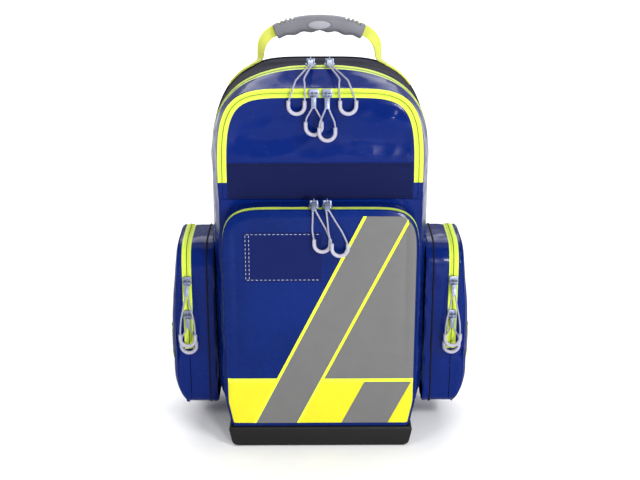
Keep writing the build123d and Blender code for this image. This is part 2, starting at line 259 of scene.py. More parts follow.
def shrink(loop, amount):
    count = len(loop)
    result = []
    for i, point in enumerate(loop):
        along = loop[(i + 1) % count] - loop[i - 1]
        normal = Vector((along.y, -along.x)).normalized()
        result.append(point - normal * amount)
    return result


loopCount = 240
bodyRadii = [r * mm for r in (22, 60, 60, 40, 60)]
backLoop = roundedLoop(
    [(backHalf - 22 * mm, bootTop), (backHalf, bootTop + 36 * mm), (backHalf, backTop - 96 * mm),
     (backHalf - 25 * mm, backTop - 31 * mm), (backHalf - 70 * mm, backTop)], bodyRadii, loopCount)
mainLoop = roundedLoop(
    [(mainHalf - 18 * mm, bootTop), (mainHalf, bootTop + 30 * mm), (mainHalf, mainTop - 72 * mm),
     (mainHalf - 32 * mm, mainTop - 22 * mm), (mainHalf - 98 * mm, mainTop)], bodyRadii, loopCount)
upperLoop = roundedLoop(
    [(upperHalf - 10 * mm, bootTop), (upperHalf, bootTop + 30 * mm), (upperHalf, upperTop - 62 * mm),
     (upperHalf - 12 * mm, upperTop - 14 * mm), (upperHalf - 40 * mm, upperTop)],
    [r * mm for r in (16, 60, 50, 22, 40)], loopCount)
pocketLoop = roundedLoop(
    [(pocketHalf - 8 * mm, bootTop), (pocketHalf, bootTop + 40 * mm), (pocketHalf, pocketTop - 24 * mm),
     (pocketHalf - 7 * mm, pocketTop - 7 * mm), (pocketHalf - 24 * mm, pocketTop)],
    [r * mm for r in (10, 60, 12, 12, 12)], loopCount)


def loopAt(loop, u):
    place = (u % 1.0) * len(loop)
    i = int(place)
    return loop[i % len(loop)].lerp(loop[(i + 1) % len(loop)], place - i)


def shareAt(loop, z):
    # how far round the outline, from the bottom middle up the right side, the height z comes
    for i in range(len(loop) // 2):
        if loop[i].y <= z <= loop[i + 1].y and loop[i].x > 0.05:
            return (i + (z - loop[i].y) / max(1e-9, loop[i + 1].y - loop[i].y)) / len(loop)
    return 0.25


def onPack(flat, depth):
    return Vector((flat.x, backY - depth, flat.y))


def wrap(name, stations, place=onPack, rows=4, span=(0.0, 1.0), lift=None, across=loopCount, outside=None):
    # stations are (outline, depth, how far it is drawn in, how much it shrinks to its middle)
    stations = [tuple(one) + (0.0, 1.0)[len(one) - 2:] for one in stations]
    marks = [(k + t / rows) for k in range(len(stations) - 1) for t in range(rows)] + [len(stations) - 1.0]
    loops = []
    for loop, depth, drawn, scale in stations:
        ring = shrink(loop, drawn) if drawn else loop
        middle = Vector((0, (min(p.y for p in ring) + max(p.y for p in ring)) / 2))
        loops.append([middle.lerp(p, scale) for p in ring])

    def at(u, v):
        mark = marks[round(v * (len(marks) - 1))]
        k = min(int(mark), len(stations) - 2)
        t = mark - k
        around = span[0] + (span[1] - span[0]) * u
        flat = loopAt(loops[k], around).lerp(loopAt(loops[k + 1], around), t)
        depth = stations[k][1] + (stations[k + 1][1] - stations[k][1]) * t
        point = place(flat, depth)
        if lift:
            ahead = loopAt(stations[k][0], around + 0.002) - loopAt(stations[k][0], around - 0.002)
            outward = Vector((ahead.y, -ahead.x)).normalized()
            raised, forward = lift(around, mark / (len(stations) - 1), point)
            point = place(flat + outward * raised, depth + forward)
        return point

    piece = gridPiece(name, across, len(marks) - 1, at)
    weld(piece)
    faceOut(piece, outside or place(Vector((0, 0.27)), stations[len(stations) // 2][1]))
    return piece


def panelGrid(name, loop, depth, rise, drawn=0.0, cells=64, place=onPack):
    outer = shrink(loop, drawn) if drawn else loop
    centre = Vector((0, (min(p.y for p in outer) + max(p.y for p in outer)) / 2))

    def at(u, v):
        s, t = 2 * u - 1, 2 * v - 1
        far = max(abs(s), abs(t))
        if far < 1e-9:
            return place(centre, depth + rise(centre, 0.0))
        a, b = s / far, t / far
        if abs(b + 1) < 1e-6:
            walk = a / 8
        elif abs(a - 1) < 1e-6:
            walk = 0.125 + (b + 1) / 8
        elif abs(b - 1) < 1e-6:
            walk = 0.375 + (1 - a) / 8
        else:
            walk = 0.625 + (1 - b) / 8
        flat = centre.lerp(loopAt(outer, squareWalk(walk % 1.0, loop)), far)
        return place(flat, depth + rise(flat, far))

    return gridPiece(name, cells, cells, at)


def lookForward(piece, direction=(0, -1, 0)):
    if sum(face.normal.dot(Vector(direction)) * face.area for face in piece.data.polygons) < 0:
        flip(piece)


def cutAt(piece, z, keepAbove=True):
    pick(piece)
    bpy.ops.object.mode_set(mode="EDIT")
    bpy.ops.mesh.select_all(action="SELECT")
    bpy.ops.mesh.bisect(plane_co=(0, 0, z), plane_no=(0, 0, 1), clear_inner=keepAbove, clear_outer=not keepAbove)
    bpy.ops.object.mode_set(mode="OBJECT")


def soft(t, low, high):
    t = max(0.0, min(1.0, (t - low) / (high - low)))
    return t * t * (3 - 2 * t)


def ridges(point, scale, seed):
    # folded creases rather than round waves
    p = point * scale + Vector((seed, seed * 0.7, 0))
    return 0.5 - abs(noise.noise(p)) * 1.4 + 0.35 * (0.5 - abs(noise.noise(p * 2.3)) * 1.4)


cornerShares = {}


def squareWalk(walk, loop):
    # evens the corners of the square out to the corners of the outline
    key = id(loop)
    if key not in cornerShares:
        high = max(p.y for p in loop)
        low = min(p.y for p in loop)
        wide = max(p.x for p in loop)
        count = len(loop)
        lowRight = min(range(count), key=lambda i: (loop[i] - Vector((wide, low))).length)
        highRight = min(range(count), key=lambda i: (loop[i] - Vector((wide, high))).length)
        cornerShares[key] = (lowRight / count, highRight / count)
    a, b = cornerShares[key]
    marks = [0, 0.125, 0.375, 0.625, 0.875, 1.0]
    wants = [0, a, b, 1 - b, 1 - a, 1.0]
    for i in range(5):
        if walk <= marks[i + 1] + 1e-12:
            t = (walk - marks[i]) / (marks[i + 1] - marks[i])
            return wants[i] + (wants[i + 1] - wants[i]) * t
    return walk


def srgb(r, g, b):
    return tuple((c / 255 / 12.92) if c / 255 <= 0.04045 else ((c / 255 + 0.055) / 1.055) ** 2.4 for c in (r, g, b))


class Finish:
    def __init__(self, name):
        self.material = bpy.data.materials.new(name)
        self.material.use_nodes = True
        self.nodes = self.material.node_tree.nodes
        self.links = self.material.node_tree.links
        self.shader = self.nodes["Principled BSDF"]
        self.coords = self.nodes.new("ShaderNodeTexCoord")
        self.bump = None

    def set(self, **values):
        for key, value in values.items():
            self.shader.inputs[key.replace("_", " ")].default_value = value

    def mapped(self, scale):
        node = self.nodes.new("ShaderNodeMapping")
        node.inputs["Scale"].default_value = (scale,) * 3
        self.links.new(self.coords.outputs["Object"], node.inputs["Vector"])
        return node.outputs["Vector"]

    def noise(self, scale, detail=4, rough=0.55, distortion=0.0):
        node = self.nodes.new("ShaderNodeTexNoise")
        node.inputs["Scale"].default_value = 1.0
        node.inputs["Detail"].default_value = detail
        node.inputs["Roughness"].default_value = rough
        node.inputs["Distortion"].default_value = distortion
        self.links.new(self.mapped(scale), node.inputs["Vector"])
        return node.outputs["Fac"]

    def wave(self, scale, direction):
        node = self.nodes.new("ShaderNodeTexWave")
        node.bands_direction = direction
        node.inputs["Scale"].default_value = 1.0
        self.links.new(self.mapped(scale), node.inputs["Vector"])
        return node.outputs["Fac"]

    def math(self, operation, a, b):
        node = self.nodes.new("ShaderNodeMath")
        node.operation = operation
        for socket, value in zip(node.inputs, (a, b)):
            if isinstance(value, (int, float)):
                socket.default_value = value
            else:
                self.links.new(value, socket)
        return node.outputs[0]

    def ramp(self, value, stops):
        node = self.nodes.new("ShaderNodeValToRGB")
        self.links.new(value, node.inputs["Fac"])
        elements = node.color_ramp.elements
        while len(elements) < len(stops):
            elements.new(0.5)
        for element, (place, colour) in zip(elements, stops):
            element.position = place
            element.color = (*colour, 1)
        return node.outputs["Color"]

    def span(self, value, low, high, fromLow=0.0, fromHigh=1.0):
        node = self.nodes.new("ShaderNodeMapRange")
        node.inputs["From Min"].default_value = fromLow
        node.inputs["From Max"].default_value = fromHigh
        node.inputs["To Min"].default_value = low
        node.inputs["To Max"].default_value = high
        self.links.new(value, node.inputs["Value"])
        return node.outputs["Result"]

    def colour(self, output):
        self.links.new(output, self.shader.inputs["Base Color"])

    def roughness(self, output):
        self.links.new(output, self.shader.inputs["Roughness"])

    def relief(self, height, distance, strength=1.0):
        node = self.nodes.new("ShaderNodeBump")
        node.inputs["Distance"].default_value = distance
        node.inputs["Strength"].default_value = strength
        self.links.new(height, node.inputs["Height"])
        if self.bump:
            self.links.new(self.bump, node.inputs["Normal"])
        self.bump = node.outputs["Normal"]
        self.links.new(self.bump, self.shader.inputs["Normal"])


def tint(colour, factor):
    return tuple(min(1.0, c * factor) for c in colour)


def tarpaulin(name, colour, creases=0.0016, rough=(0.15, 0.3)):
    f = Finish(name)
    patches = f.noise(9, 3)
    f.colour(f.ramp(patches, [(0.3, tint(colour, 0.82)), (0.7, tint(colour, 1.15))]))
    f.roughness(f.span(f.noise(60, 4), *rough, 0.3, 0.7))
    f.set(Coat_Weight=0.08, Coat_Roughness=0.05, Specular_IOR_Level=0.06)
    f.relief(f.noise(11, 2, 0.45, distortion=0.5), creases, 0.7)
    weave = f.math("MULTIPLY", f.wave(430, "X"), f.wave(430, "Z"))
    f.relief(weave, 0.00004, 0.15)
    return f.material


def cloth(name, colour, pitch=900, fuzz=0.4, rough=0.85, contrast=0.25, sheen=0.25):
    f = Finish(name)
    cross = f.math("MULTIPLY", f.wave(pitch, "X"), f.wave(pitch, "Z"))
    speck = f.noise(500, 4, 0.7)
    shade = f.math("ADD", f.math("MULTIPLY", cross, 0.5), f.math("MULTIPLY", speck, 0.5))
    f.colour(f.ramp(shade, [(0.2, tint(colour, 1 - contrast)), (0.8, tint(colour, 1 + contrast))]))
    f.set(Roughness=rough, Sheen_Weight=sheen, Sheen_Roughness=0.4, Specular_IOR_Level=0.15)
    f.relief(f.noise(26, 3), 0.0012, 0.5)
    f.relief(cross, 0.0002, fuzz)
    f.relief(speck, 0.00015, 0.4)
    return f.material


def webbingCloth(name, colour):
    f = Finish(name)
    slant = f.wave(400, "DIAGONAL")
    f.colour(f.ramp(slant, [(0.1, tint(colour, 0.78)), (0.8, tint(colour, 1.1))]))
    f.set(Roughness=0.7, Sheen_Weight=0.2)
    f.relief(slant, 0.0002, 0.6)
    f.relief(f.noise(700, 3), 0.0001, 0.4)
    return f.material


def moulded(name, colour, rough=0.45, grain=0.00008, metal=0.0, scale=900, spread=0.12):
    f = Finish(name)
    f.colour(f.ramp(f.noise(40, 4), [(0.3, tint(colour, 1 - spread)), (0.7, tint(colour, 1 + spread))]))
    f.roughness(f.span(f.noise(120, 4), rough - 0.08, rough + 0.1, 0.3, 0.7))
    f.set(Metallic=metal, Specular_IOR_Level=0.5 if metal else 0.25)
    f.relief(f.noise(scale, 3, 0.6), grain, 0.6)
    return f.material


blueTarp = tarpaulin("blueTarpaulin", srgb(3, 27, 94))
blueSmooth = tarpaulin("blueSmoothPanel", srgb(2, 27, 90), creases=0.0008, rough=(0.2, 0.32))
navyTextile = cloth("navyTextile", srgb(18, 18, 42), pitch=900, sheen=0.02)
navyLoop = cloth("navyLoopPile", srgb(14, 24, 74), pitch=1300, fuzz=0.8, rough=0.95, contrast=0.45, sheen=0.1)
patchLoop = cloth("patchLoopPile", srgb(10, 24, 82), pitch=1500, fuzz=0.6, rough=0.9, contrast=0.3, sheen=0.1)
limeTape = webbingCloth("limeTape", srgb(200, 222, 62))
limeWebbing = webbingCloth("limeWebbing", srgb(204, 210, 80))
blackBase = moulded("blackBase", srgb(6, 6, 8), rough=0.5, grain=0.0002, scale=500)
reflective = moulded("reflectiveGrey", srgb(95, 95, 95), rough=0.6, grain=0.00004, scale=1500, spread=0.03)
fluorescent = moulded("fluorescentYellow", srgb(200, 194, 26), rough=0.5, grain=0.00003, scale=800, spread=0.03)
limeEdge = moulded("limeEdging", srgb(212, 232, 48), rough=0.4, grain=0.00003, scale=800, spread=0.04)
gripRubber = moulded("gripRubber", srgb(112, 112, 120), rough=0.55, grain=0.00012, scale=1300, spread=0.06)
sliderMetal = moulded("sliderMetal", srgb(128, 136, 158), rough=0.38, grain=0.00003, metal=0.6)
pullPlastic = moulded("pullPlastic", srgb(158, 156, 170), rough=0.42, grain=0.00005, spread=0.05)
pullCord = cloth("pullCord", srgb(150, 150, 166), pitch=2500, rough=0.7, contrast=0.25)
blackWebbing = webbingCloth("blackWebbing", srgb(30, 30, 34))
blackPlastic = moulded("blackPlastic", srgb(26, 26, 29), rough=0.45)
thread = cloth("whiteThread", srgb(196, 204, 226), pitch=3000, rough=0.8)
lining = cloth("greyLining", srgb(88, 92, 104), pitch=700, rough=0.8)
print("materials ready")

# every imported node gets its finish, whether or not a finer piece stands for it
nodeFinish = {
    "navy_textile": navyTextile, "blue_tarpaulin": blueTarp, "black_base": blackBase, "lime_tape": limeTape,
    "black_webbing": blackWebbing, "black_plastic": blackPlastic, "grey_grip": gripRubber,
    "reflective_grey": reflective, "fluorescent_yellow": fluorescent, "loop_navy": navyLoop,
    "slider_metal": sliderMetal, "pull_grey": pullPlastic,
}
slotOf = {part["node"]: part["material_slot"] for part in frame["record"]["subparts"]}
for nodeName, node in frame["nodes"].items():
    for holder in node.material_slots:
        holder.material = nodeFinish[slotOf[nodeName]]


def depthLow(node):
    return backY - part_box(node)[1][1]


def depthHigh(node):
    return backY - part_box(node)[0][1]


# stations of the pack from back to front, as depths from the rear face
deep = {
    "panel": depthHigh("back_panel"), "mainTape": 118 * mm, "mainGap": depthHigh("main_zip_rear") + 0.2 * mm,
    "lidBack": depthLow("lid_wall"), "lidFront": depthHigh("main_zip_front"), "front": depthLow("loop_strip"),
    "pocketTape": 213 * mm, "pocketGap": depthHigh("pocket_zip_rear") + 0.2 * mm,
    "pocketSkin": depthHigh("pocket_zip_front"), "pocket": depthHigh("pocket_panel"),
}
zipEnds = {"main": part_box("main_zip_rear")[0][2], "upper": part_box("upper_zip_rear")[0][2],
           "pocket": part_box("pocket_zip_rear")[0][2]}
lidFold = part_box("upper_panel")[0][2]
low = bootTop

# wall of the main compartment, with its plain hem below the zip
packWallLook = {"thick": 2.2 * mm, "crease": 2.6 * mm, "pinch": 4 * mm}


def packCreases(around, v, point):
    hold = soft(v, 0, 0.12) * soft(1 - v, 0, 0.12)
    height = packWallLook["crease"] * ridges(point, 17, 3) - packWallLook["pinch"] * 4 * v * (1 - v) * 0.35
    return hold * height, 0


packWall = wrap("packWall", [(backLoop, deep["panel"]), (mainLoop, deep["mainTape"])], rows=22, lift=packCreases)
hemShare = shareAt(mainLoop, zipEnds["main"])
packHem = wrap("packHem", [(mainLoop, deep["mainTape"]), (mainLoop, deep["mainGap"] - 0.3 * mm)], rows=3,
               span=(-hemShare, hemShare), across=80)
packWall = joined("packWall", [packWall, packHem])
solidify(packWall, packWallLook["thick"])
finishPiece(packWall, navyTextile, "pack", ["rear_gusset"], "navy_textile")

# front compartment: its wall, a lip round the front and the flat part behind the pocket
frontLook = {"thick": 2.2 * mm, "crease": 2.2 * mm}


def frontCreases(around, v, point):
    hold = soft(v, 0, 0.1) * soft(0.66 - v, 0, 0.1)
    return hold * frontLook["crease"] * ridges(point, 19, 11), 0


frontWall = wrap("frontWall", [(mainLoop, deep["lidFront"]), (upperLoop, deep["front"] - 4 * mm),
                               (upperLoop, deep["front"] - 1.2 * mm, 0.8 * mm), (upperLoop, deep["front"], 3 * mm)],
                 rows=8, lift=frontCreases)
frontLow = panelGrid("frontLow", upperLoop, deep["front"], lambda flat, far: -0.2 * mm, 3 * mm, 40)
lookForward(frontLow)
cutAt(frontLow, lidFold - 0.7 * mm, False)
sideShare = shareAt(upperLoop, lidFold)
lipShare = shareAt(upperLoop, zipEnds["upper"])
lidSides = (sideShare, lipShare), (1 - lipShare, 1 - sideShare)


def sideStrips(name, depth, inner, outer, rows, across):
    strips = [wrap(name, [(upperLoop, depth, inner), (upperLoop, depth, outer)], rows=rows, span=ends, across=across)
              for ends in lidSides]
    for strip in strips:
        lookForward(strip)
    return strips


lips = sideStrips("lip", deep["front"], 3 * mm, 6 * mm, 1, 6)
frontWall = joined("frontWall", [frontWall, frontLow] + lips)
weld(frontWall, 0.0001)
solidify(frontWall, frontLook["thick"])
finishPiece(frontWall, blueTarp, "main_lid", ["front_gusset"])

lidLining = panelGrid("lidLining", mainLoop, deep["lidBack"] + 2 * mm, lambda flat, far: 0, 0.0, 40)
lookForward(lidLining, (0, 1, 0))
lidHem = wrap("lidHem", [(mainLoop, deep["mainGap"] + 0.3 * mm), (mainLoop, deep["lidFront"])], rows=3,
              span=(-hemShare, hemShare), across=80)
solidify(lidLining, 3 * mm)
solidify(lidHem, 2.2 * mm)
finishPiece(lidHem, blueTarp, "main_lid", ["lid_wall"])
finishPiece(lidLining, lining, "main_lid", slot="navy_textile")
print("main walls ready")

# lid of the front compartment: a thin glossy sheet, crumpled most near its upper right corner
upperLook = {"crumple": 2.6 * mm, "wave": 3.4 * mm, "thick": 1.8 * mm, "creaseZ": 432 * mm,
             "bulge": 6.5 * mm, "bulgeX": 98 * mm, "bulgeZ": 478 * mm, "bulgeSize": (30 * mm, 20 * mm)}
tapeIn = 12.4 * mm


def upperCrumple(flat, far):
    hold = soft(1 - far, 0.0, 0.09) * soft(flat.y, lidFold + 48 * mm, lidFold + 62 * mm)
    spot = 0.35 + 1.0 * soft(flat.x, 30 * mm, 90 * mm) * soft(flat.y, 440 * mm, 470 * mm)
    spot += 0.5 * soft(48 * mm - abs(flat.y - upperLook["creaseZ"]), 0, 30 * mm)
    fold = ridges(Vector((flat.x * 0.8, 0, flat.y * 1.4)), 17, 7)
    swell = noise.noise(Vector((flat.x * 7, 2.0, flat.y * 12)))
    wide, tall = upperLook["bulgeSize"]
    bulge = upperLook["bulge"] * exp(-((flat.x - upperLook["bulgeX"]) / wide) ** 2
                                     - ((flat.y - upperLook["bulgeZ"]) / tall) ** 2)
    return hold * (upperLook["crumple"] * spot * fold + upperLook["wave"] * swell + bulge)


upperPanel = panelGrid("upperPanel", upperLoop, deep["front"] - 0.4 * mm, upperCrumple, tapeIn, 130)
lookForward(upperPanel)
cutAt(upperPanel, lidFold)
upperEars = sideStrips("upperEar", deep["front"] - 0.4 * mm, 6.5 * mm, tapeIn, 2, 8)
upperPanel = joined("upperPanel", [upperPanel] + upperEars)
weld(upperPanel, 0.0001)
lookForward(upperPanel)
solidify(upperPanel, upperLook["thick"])
finishPiece(upperPanel, blueTarp, "upper_lid", ["upper_panel"], angle=60)

# hook-and-loop strip with a row of stitches along each edge
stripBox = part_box("loop_strip")


def stripAt(u, v):
    x = stripBox[0][0] + (stripBox[1][0] - stripBox[0][0]) * u
    z = stripBox[0][2] + (stripBox[1][2] - stripBox[0][2]) * v
    wave = 0.5 * mm * noise.noise(Vector((x * 14, 5, z * 14)))
    return (x, backY - deep["front"] - 1.4 * mm - wave, z)


loopStrip = gridPiece("loopStrip", 60, 14, stripAt)
lookForward(loopStrip)
solidify(loopStrip, 1.2 * mm)
finishPiece(loopStrip, navyLoop, "upper_lid", ["loop_strip"], "loop_navy")


def repeated(name, sample, places):
    # one mesh from many copies of a small sample; places are matrices
    points = [tuple(p.co) for p in sample.data.vertices]
    faces = [tuple(f.vertices) for f in sample.data.polygons]
    allPoints, allFaces = [], []
    for place in places:
        start = len(allPoints)
        allPoints += [tuple(place @ Vector(p)) for p in points]
        allFaces += [tuple(start + i for i in f) for f in faces]
    mesh = bpy.data.meshes.new(name)
    mesh.from_pydata(allPoints, [], allFaces)
    mesh.update()
    piece = bpy.data.objects.new(name, mesh)
    bpy.context.scene.collection.objects.link(piece)
    return piece


stitchLook = {"length": 3.2 * mm, "gap": 2.0 * mm, "thick": 0.55 * mm}
stitchSample = block("stitchSample", (-stitchLook["length"] / 2, -stitchLook["thick"] / 2, -stitchLook["thick"] / 2),
                     (stitchLook["length"] / 2, stitchLook["thick"] / 2, stitchLook["thick"] / 2), 0.15 * mm, 1)


def frameAt(place, along, outward):
    along, outward = Vector(along).normalized(), Vector(outward).normalized()
    across = outward.cross(along)
    turn = Matrix((along, across, outward)).transposed().to_4x4()
    return Matrix.Translation(Vector(place)) @ turn


def stitchLine(corners, outward, pitch=None):
    pitch = pitch or stitchLook["length"] + stitchLook["gap"]
    places = []
    for a, b in zip(corners, corners[1:]):
        a, b = Vector(a), Vector(b)
        count = max(1, round((b - a).length / pitch))
        for k in range(count):
            places.append(frameAt(a.lerp(b, (k + 0.5) / count), b - a, outward))
    return places


stripFace = backY - deep["front"] - 2.1 * mm
edgeIn = 2.5 * mm
places = []
for z in (stripBox[0][2] + edgeIn, stripBox[1][2] - edgeIn):
    places += stitchLine([(stripBox[0][0] + edgeIn, stripFace, z), (stripBox[1][0] - edgeIn, stripFace, z)], (0, -1, 0))
stripStitches = repeated("stripStitches", stitchSample, places)
finishPiece(stripStitches, navyTextile, "upper_lid", slot="loop_navy")

# lower front pocket: wall, hem below the zip, and the front panel with its soft vertical edges
pocketLook = {"thick": 2.2 * mm, "crease": 1.6 * mm, "edge": 4.5 * mm}


def pocketCreases(around, v, point):
    return soft(v, 0, 0.2) * soft(1 - v, 0, 0.2) * pocketLook["crease"] * ridges(point, 22, 21), 0


pocketShare = shareAt(pocketLoop, zipEnds["pocket"])
pocketWall = wrap("pocketWall", [(pocketLoop, deep["front"]), (pocketLoop, deep["pocketTape"])], rows=8,
                  lift=pocketCreases)
pocketHem = wrap("pocketHem", [(pocketLoop, deep["pocketTape"]), (pocketLoop, deep["pocketGap"] - 0.3 * mm)], rows=2,
                 span=(-pocketShare, pocketShare), across=110)
pocketWall = joined("pocketWall", [pocketWall, pocketHem])
solidify(pocketWall, pocketLook["thick"])
finishPiece(pocketWall, blueTarp, "main_lid", ["pocket_gusset"])


def pocketRise(flat, far):
    side = abs(flat.x) / pocketHalf
    valley = -1.6 * mm * max(0.0, 1 - abs(side - 0.87) / 0.07) ** 2
    valley *= soft(flat.y, 110 * mm, 160 * mm) * soft(350 * mm - flat.y, 0, 30 * mm)
    swell = 0.5 * mm * noise.noise(Vector((flat.x * 7, 9, flat.y * 7)))
    rim = -pocketLook["edge"] * soft(far, 0.95, 1.0) * 0.55
    inside = soft(flat.y, 103 * mm, 150 * mm)
    return valley + swell * inside + rim


pocketPanel = panelGrid("pocketPanel", pocketLoop, deep["pocket"] - 0.2 * mm, pocketRise, 0.6 * mm, 110)
lookForward(pocketPanel)
cutAt(pocketPanel, low + 0.6 * mm)
pocketEdge = wrap("pocketEdge", [(pocketLoop, deep["pocketSkin"]), (pocketLoop, deep["pocket"] - 2.2 * mm),
                                 (pocketLoop, deep["pocket"] - 2.7 * mm, 0.6 * mm)], rows=2)
cutAt(pocketEdge, low + 0.6 * mm)
pocketSide = wrap("pocketSide", [(pocketLoop, deep["pocketGap"] + 0.3 * mm), (pocketLoop, deep["pocketSkin"])],
                  rows=2, span=(-pocketShare, pocketShare), across=110)
cutAt(pocketSide, low + 0.6 * mm)
pocketPanel = joined("pocketPanel", [pocketPanel, pocketEdge, pocketSide])
weld(pocketPanel, 0.0002)
lookForward(pocketPanel)
solidify(pocketPanel, 1.8 * mm)
finishPiece(pocketPanel, blueSmooth, "pocket_lid", ["pocket_panel"], angle=50)
print("front compartments ready")

# zips: a thin tape on each side and a coil of teeth along the meeting edges
zipLook = {"tape": 1.0 * mm, "toothPitch": 2.4 * mm, "tooth": (1.5 * mm, 2.6 * mm, 1.0 * mm)}
toothSample = block("toothSample", [-s / 2 for s in zipLook["tooth"]], [s / 2 for s in zipLook["tooth"]], 0.35 * mm, 1)


def loopPath(loop, span, drawn):
    ring = shrink(loop, drawn) if drawn else loop
    steps = 400
    dense = [loopAt(ring, span[0] + (span[1] - span[0]) * k / steps) for k in range(steps + 1)]
    lengths = [0.0]
    for a, b in zip(dense, dense[1:]):
        lengths.append(lengths[-1] + (b - a).length)
    total = lengths[-1]
    count = int(total / zipLook["toothPitch"])
    result, i = [], 0
    for k in range(count):
        want = total * (k + 0.5) / count
        while lengths[i + 1] < want:
            i += 1
        t = (want - lengths[i]) / (lengths[i + 1] - lengths[i])
        result.append((dense[i].lerp(dense[i + 1], t), (dense[i + 1] - dense[i]).normalized()))
    return result


def topTeeth(name, loop, depth, share, body, place=onPack, height=0.7 * mm):
    places = []
    for flat, along in loopPath(loop, (share, 1 - share), 0):
        outward = Vector((along.y, -along.x))
        spot = place(flat + outward * height, depth)
        ahead = place(flat + outward * height + along * mm, depth) - spot
        out = place(flat + outward * (height + mm), depth) - spot
        places.append(frameAt(spot, ahead, out))
    teeth = repeated(name, toothSample, places)
    return finishPiece(teeth, limeTape, body, slot="lime_tape", angle=30)


def topTape(name, node, loop, depths, share, body, place=onPack):
    sag = 0.35 * mm

    def lift(around, v, point):
        return sag * noise.noise(point * 60) - 0.2 * mm, 0
    tape = wrap(name, [(loop, depths[0]), (loop, depths[1])], rows=3, span=(share, 1 - share), lift=lift,
                place=place)
    solidify(tape, 1.6 * mm)
    return finishPiece(tape, limeTape, body, [node], "lime_tape")


gap = 0.45 * mm
topTape("mainTapeRear", "main_zip_rear", mainLoop, (deep["mainTape"], deep["mainGap"] - gap), hemShare, "pack")
topTape("mainTapeFront", "main_zip_front", mainLoop, (deep["mainGap"] + gap, deep["lidFront"]), hemShare, "main_lid")
topTeeth("mainTeethRear", mainLoop, deep["mainGap"] - 1.75 * mm, hemShare, "pack")
topTeeth("mainTeethFront", mainLoop, deep["mainGap"] + 1.75 * mm, hemShare, "main_lid")
topTape("pocketTapeRear", "pocket_zip_rear", pocketLoop, (deep["pocketTape"], deep["pocketGap"] - gap), pocketShare,
        "main_lid")
topTape("pocketTapeFront", "pocket_zip_front", pocketLoop, (deep["pocketGap"] + gap, deep["pocketSkin"]), pocketShare,
        "pocket_lid")
topTeeth("pocketTeethRear", pocketLoop, deep["pocketGap"] - 1.75 * mm, pocketShare, "main_lid")
topTeeth("pocketTeethFront", pocketLoop, deep["pocketGap"] + 1.75 * mm, pocketShare, "pocket_lid")


def faceTape(name, node, drawn, body):
    piece = wrap(name, [(upperLoop, deep["front"] + 0.3 * mm, inner) for inner in drawn], rows=2,
                 span=(lipShare, 1 - lipShare))
    lookForward(piece)
    solidify(piece, 1.4 * mm)
    return finishPiece(piece, limeTape, body, [node], "lime_tape")


def faceTeeth(name, drawn, body):
    places = []
    for flat, along in loopPath(upperLoop, (lipShare, 1 - lipShare), drawn):
        spot = onPack(flat, deep["front"] + 0.9 * mm)
        places.append(frameAt(spot, (along.x, 0, along.y), (0, -1, 0)))
    return finishPiece(repeated(name, toothSample, places), limeTape, body, slot="lime_tape", angle=30)


faceTape("upperTapeRear", "upper_zip_rear", (0.2 * mm, 6.0 * mm - 0.2 * mm), "main_lid")
faceTape("upperTapeFront", "upper_zip_front", (6.6 * mm, 12.6 * mm), "upper_lid")
faceTeeth("upperTeethRear", 4.5 * mm, "main_lid")
faceTeeth("upperTeethFront", 7.9 * mm, "upper_lid")
print("zips ready")

# side pockets: a rounded shell against the pack, and a cover that bulges and sags
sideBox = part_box("left_side_cover")
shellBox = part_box("left_side_shell")
sideDepth = shellBox[1][1] - shellBox[0][1]
sideHalf = sideDepth / 2
sideMiddleY = (shellBox[0][1] + shellBox[1][1]) / 2
sideLow, sideTop = shellBox[0][2], shellBox[1][2]
sideGap = -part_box("left_side_zip")[0][0] + 0.2 * mm
sideLoop = roundedLoop([(sideHalf, sideLow), (sideHalf, sideTop)], [26 * mm, 26 * mm], 200)
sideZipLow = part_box("left_side_zip")[0][2]
sideShareLow = shareAt(sideLoop, sideZipLow)
sideLook = {"crease": 2.4 * mm, "bulge": 3 * mm, "dent": 3.2 * mm, "thick": 2.0 * mm, "slope": 9 * mm,
            "foot": 62 * mm, "footIn": 21 * mm, "back": 152 * mm, "shellFront": 161 * mm, "tape": 185 * mm,
            "shoulder": 205 * mm, "face": 216 * mm, "fullest": 140 * mm, "dentZ": 118 * mm,
            "stripLow": 104 * mm, "stripHigh": 152 * mm, "stripEdge": 5 * mm}


def sidePlace(way):
    def place(flat, across):
        return Vector((way * across, sideMiddleY + flat.x, flat.y))
    return place


def drawIn(z):
    # the cover is fullest at mid height, slopes in at its top and rounds off at its lower outer corner
    top = sideLook["slope"] * soft(z, sideLow + 130 * mm, sideTop)
    foot = max(0.0, (sideLow + sideLook["foot"] - z) / sideLook["foot"])
    return top + sideLook["footIn"] * foot ** 2.6


def sagAt(z):
    return soft(190 * mm - abs(z - sideLook["fullest"]), 0, 120 * mm)


def profile(piece, way):
    start = sideGap + 7 * mm
    for point in piece.data.vertices:
        out = abs(point.co.x)
        if out > start:
            share = min(1.0, (out - start) / (sideLook["face"] - start))
            point.co.x -= way * drawIn(point.co.z) * share
    piece.data.update()


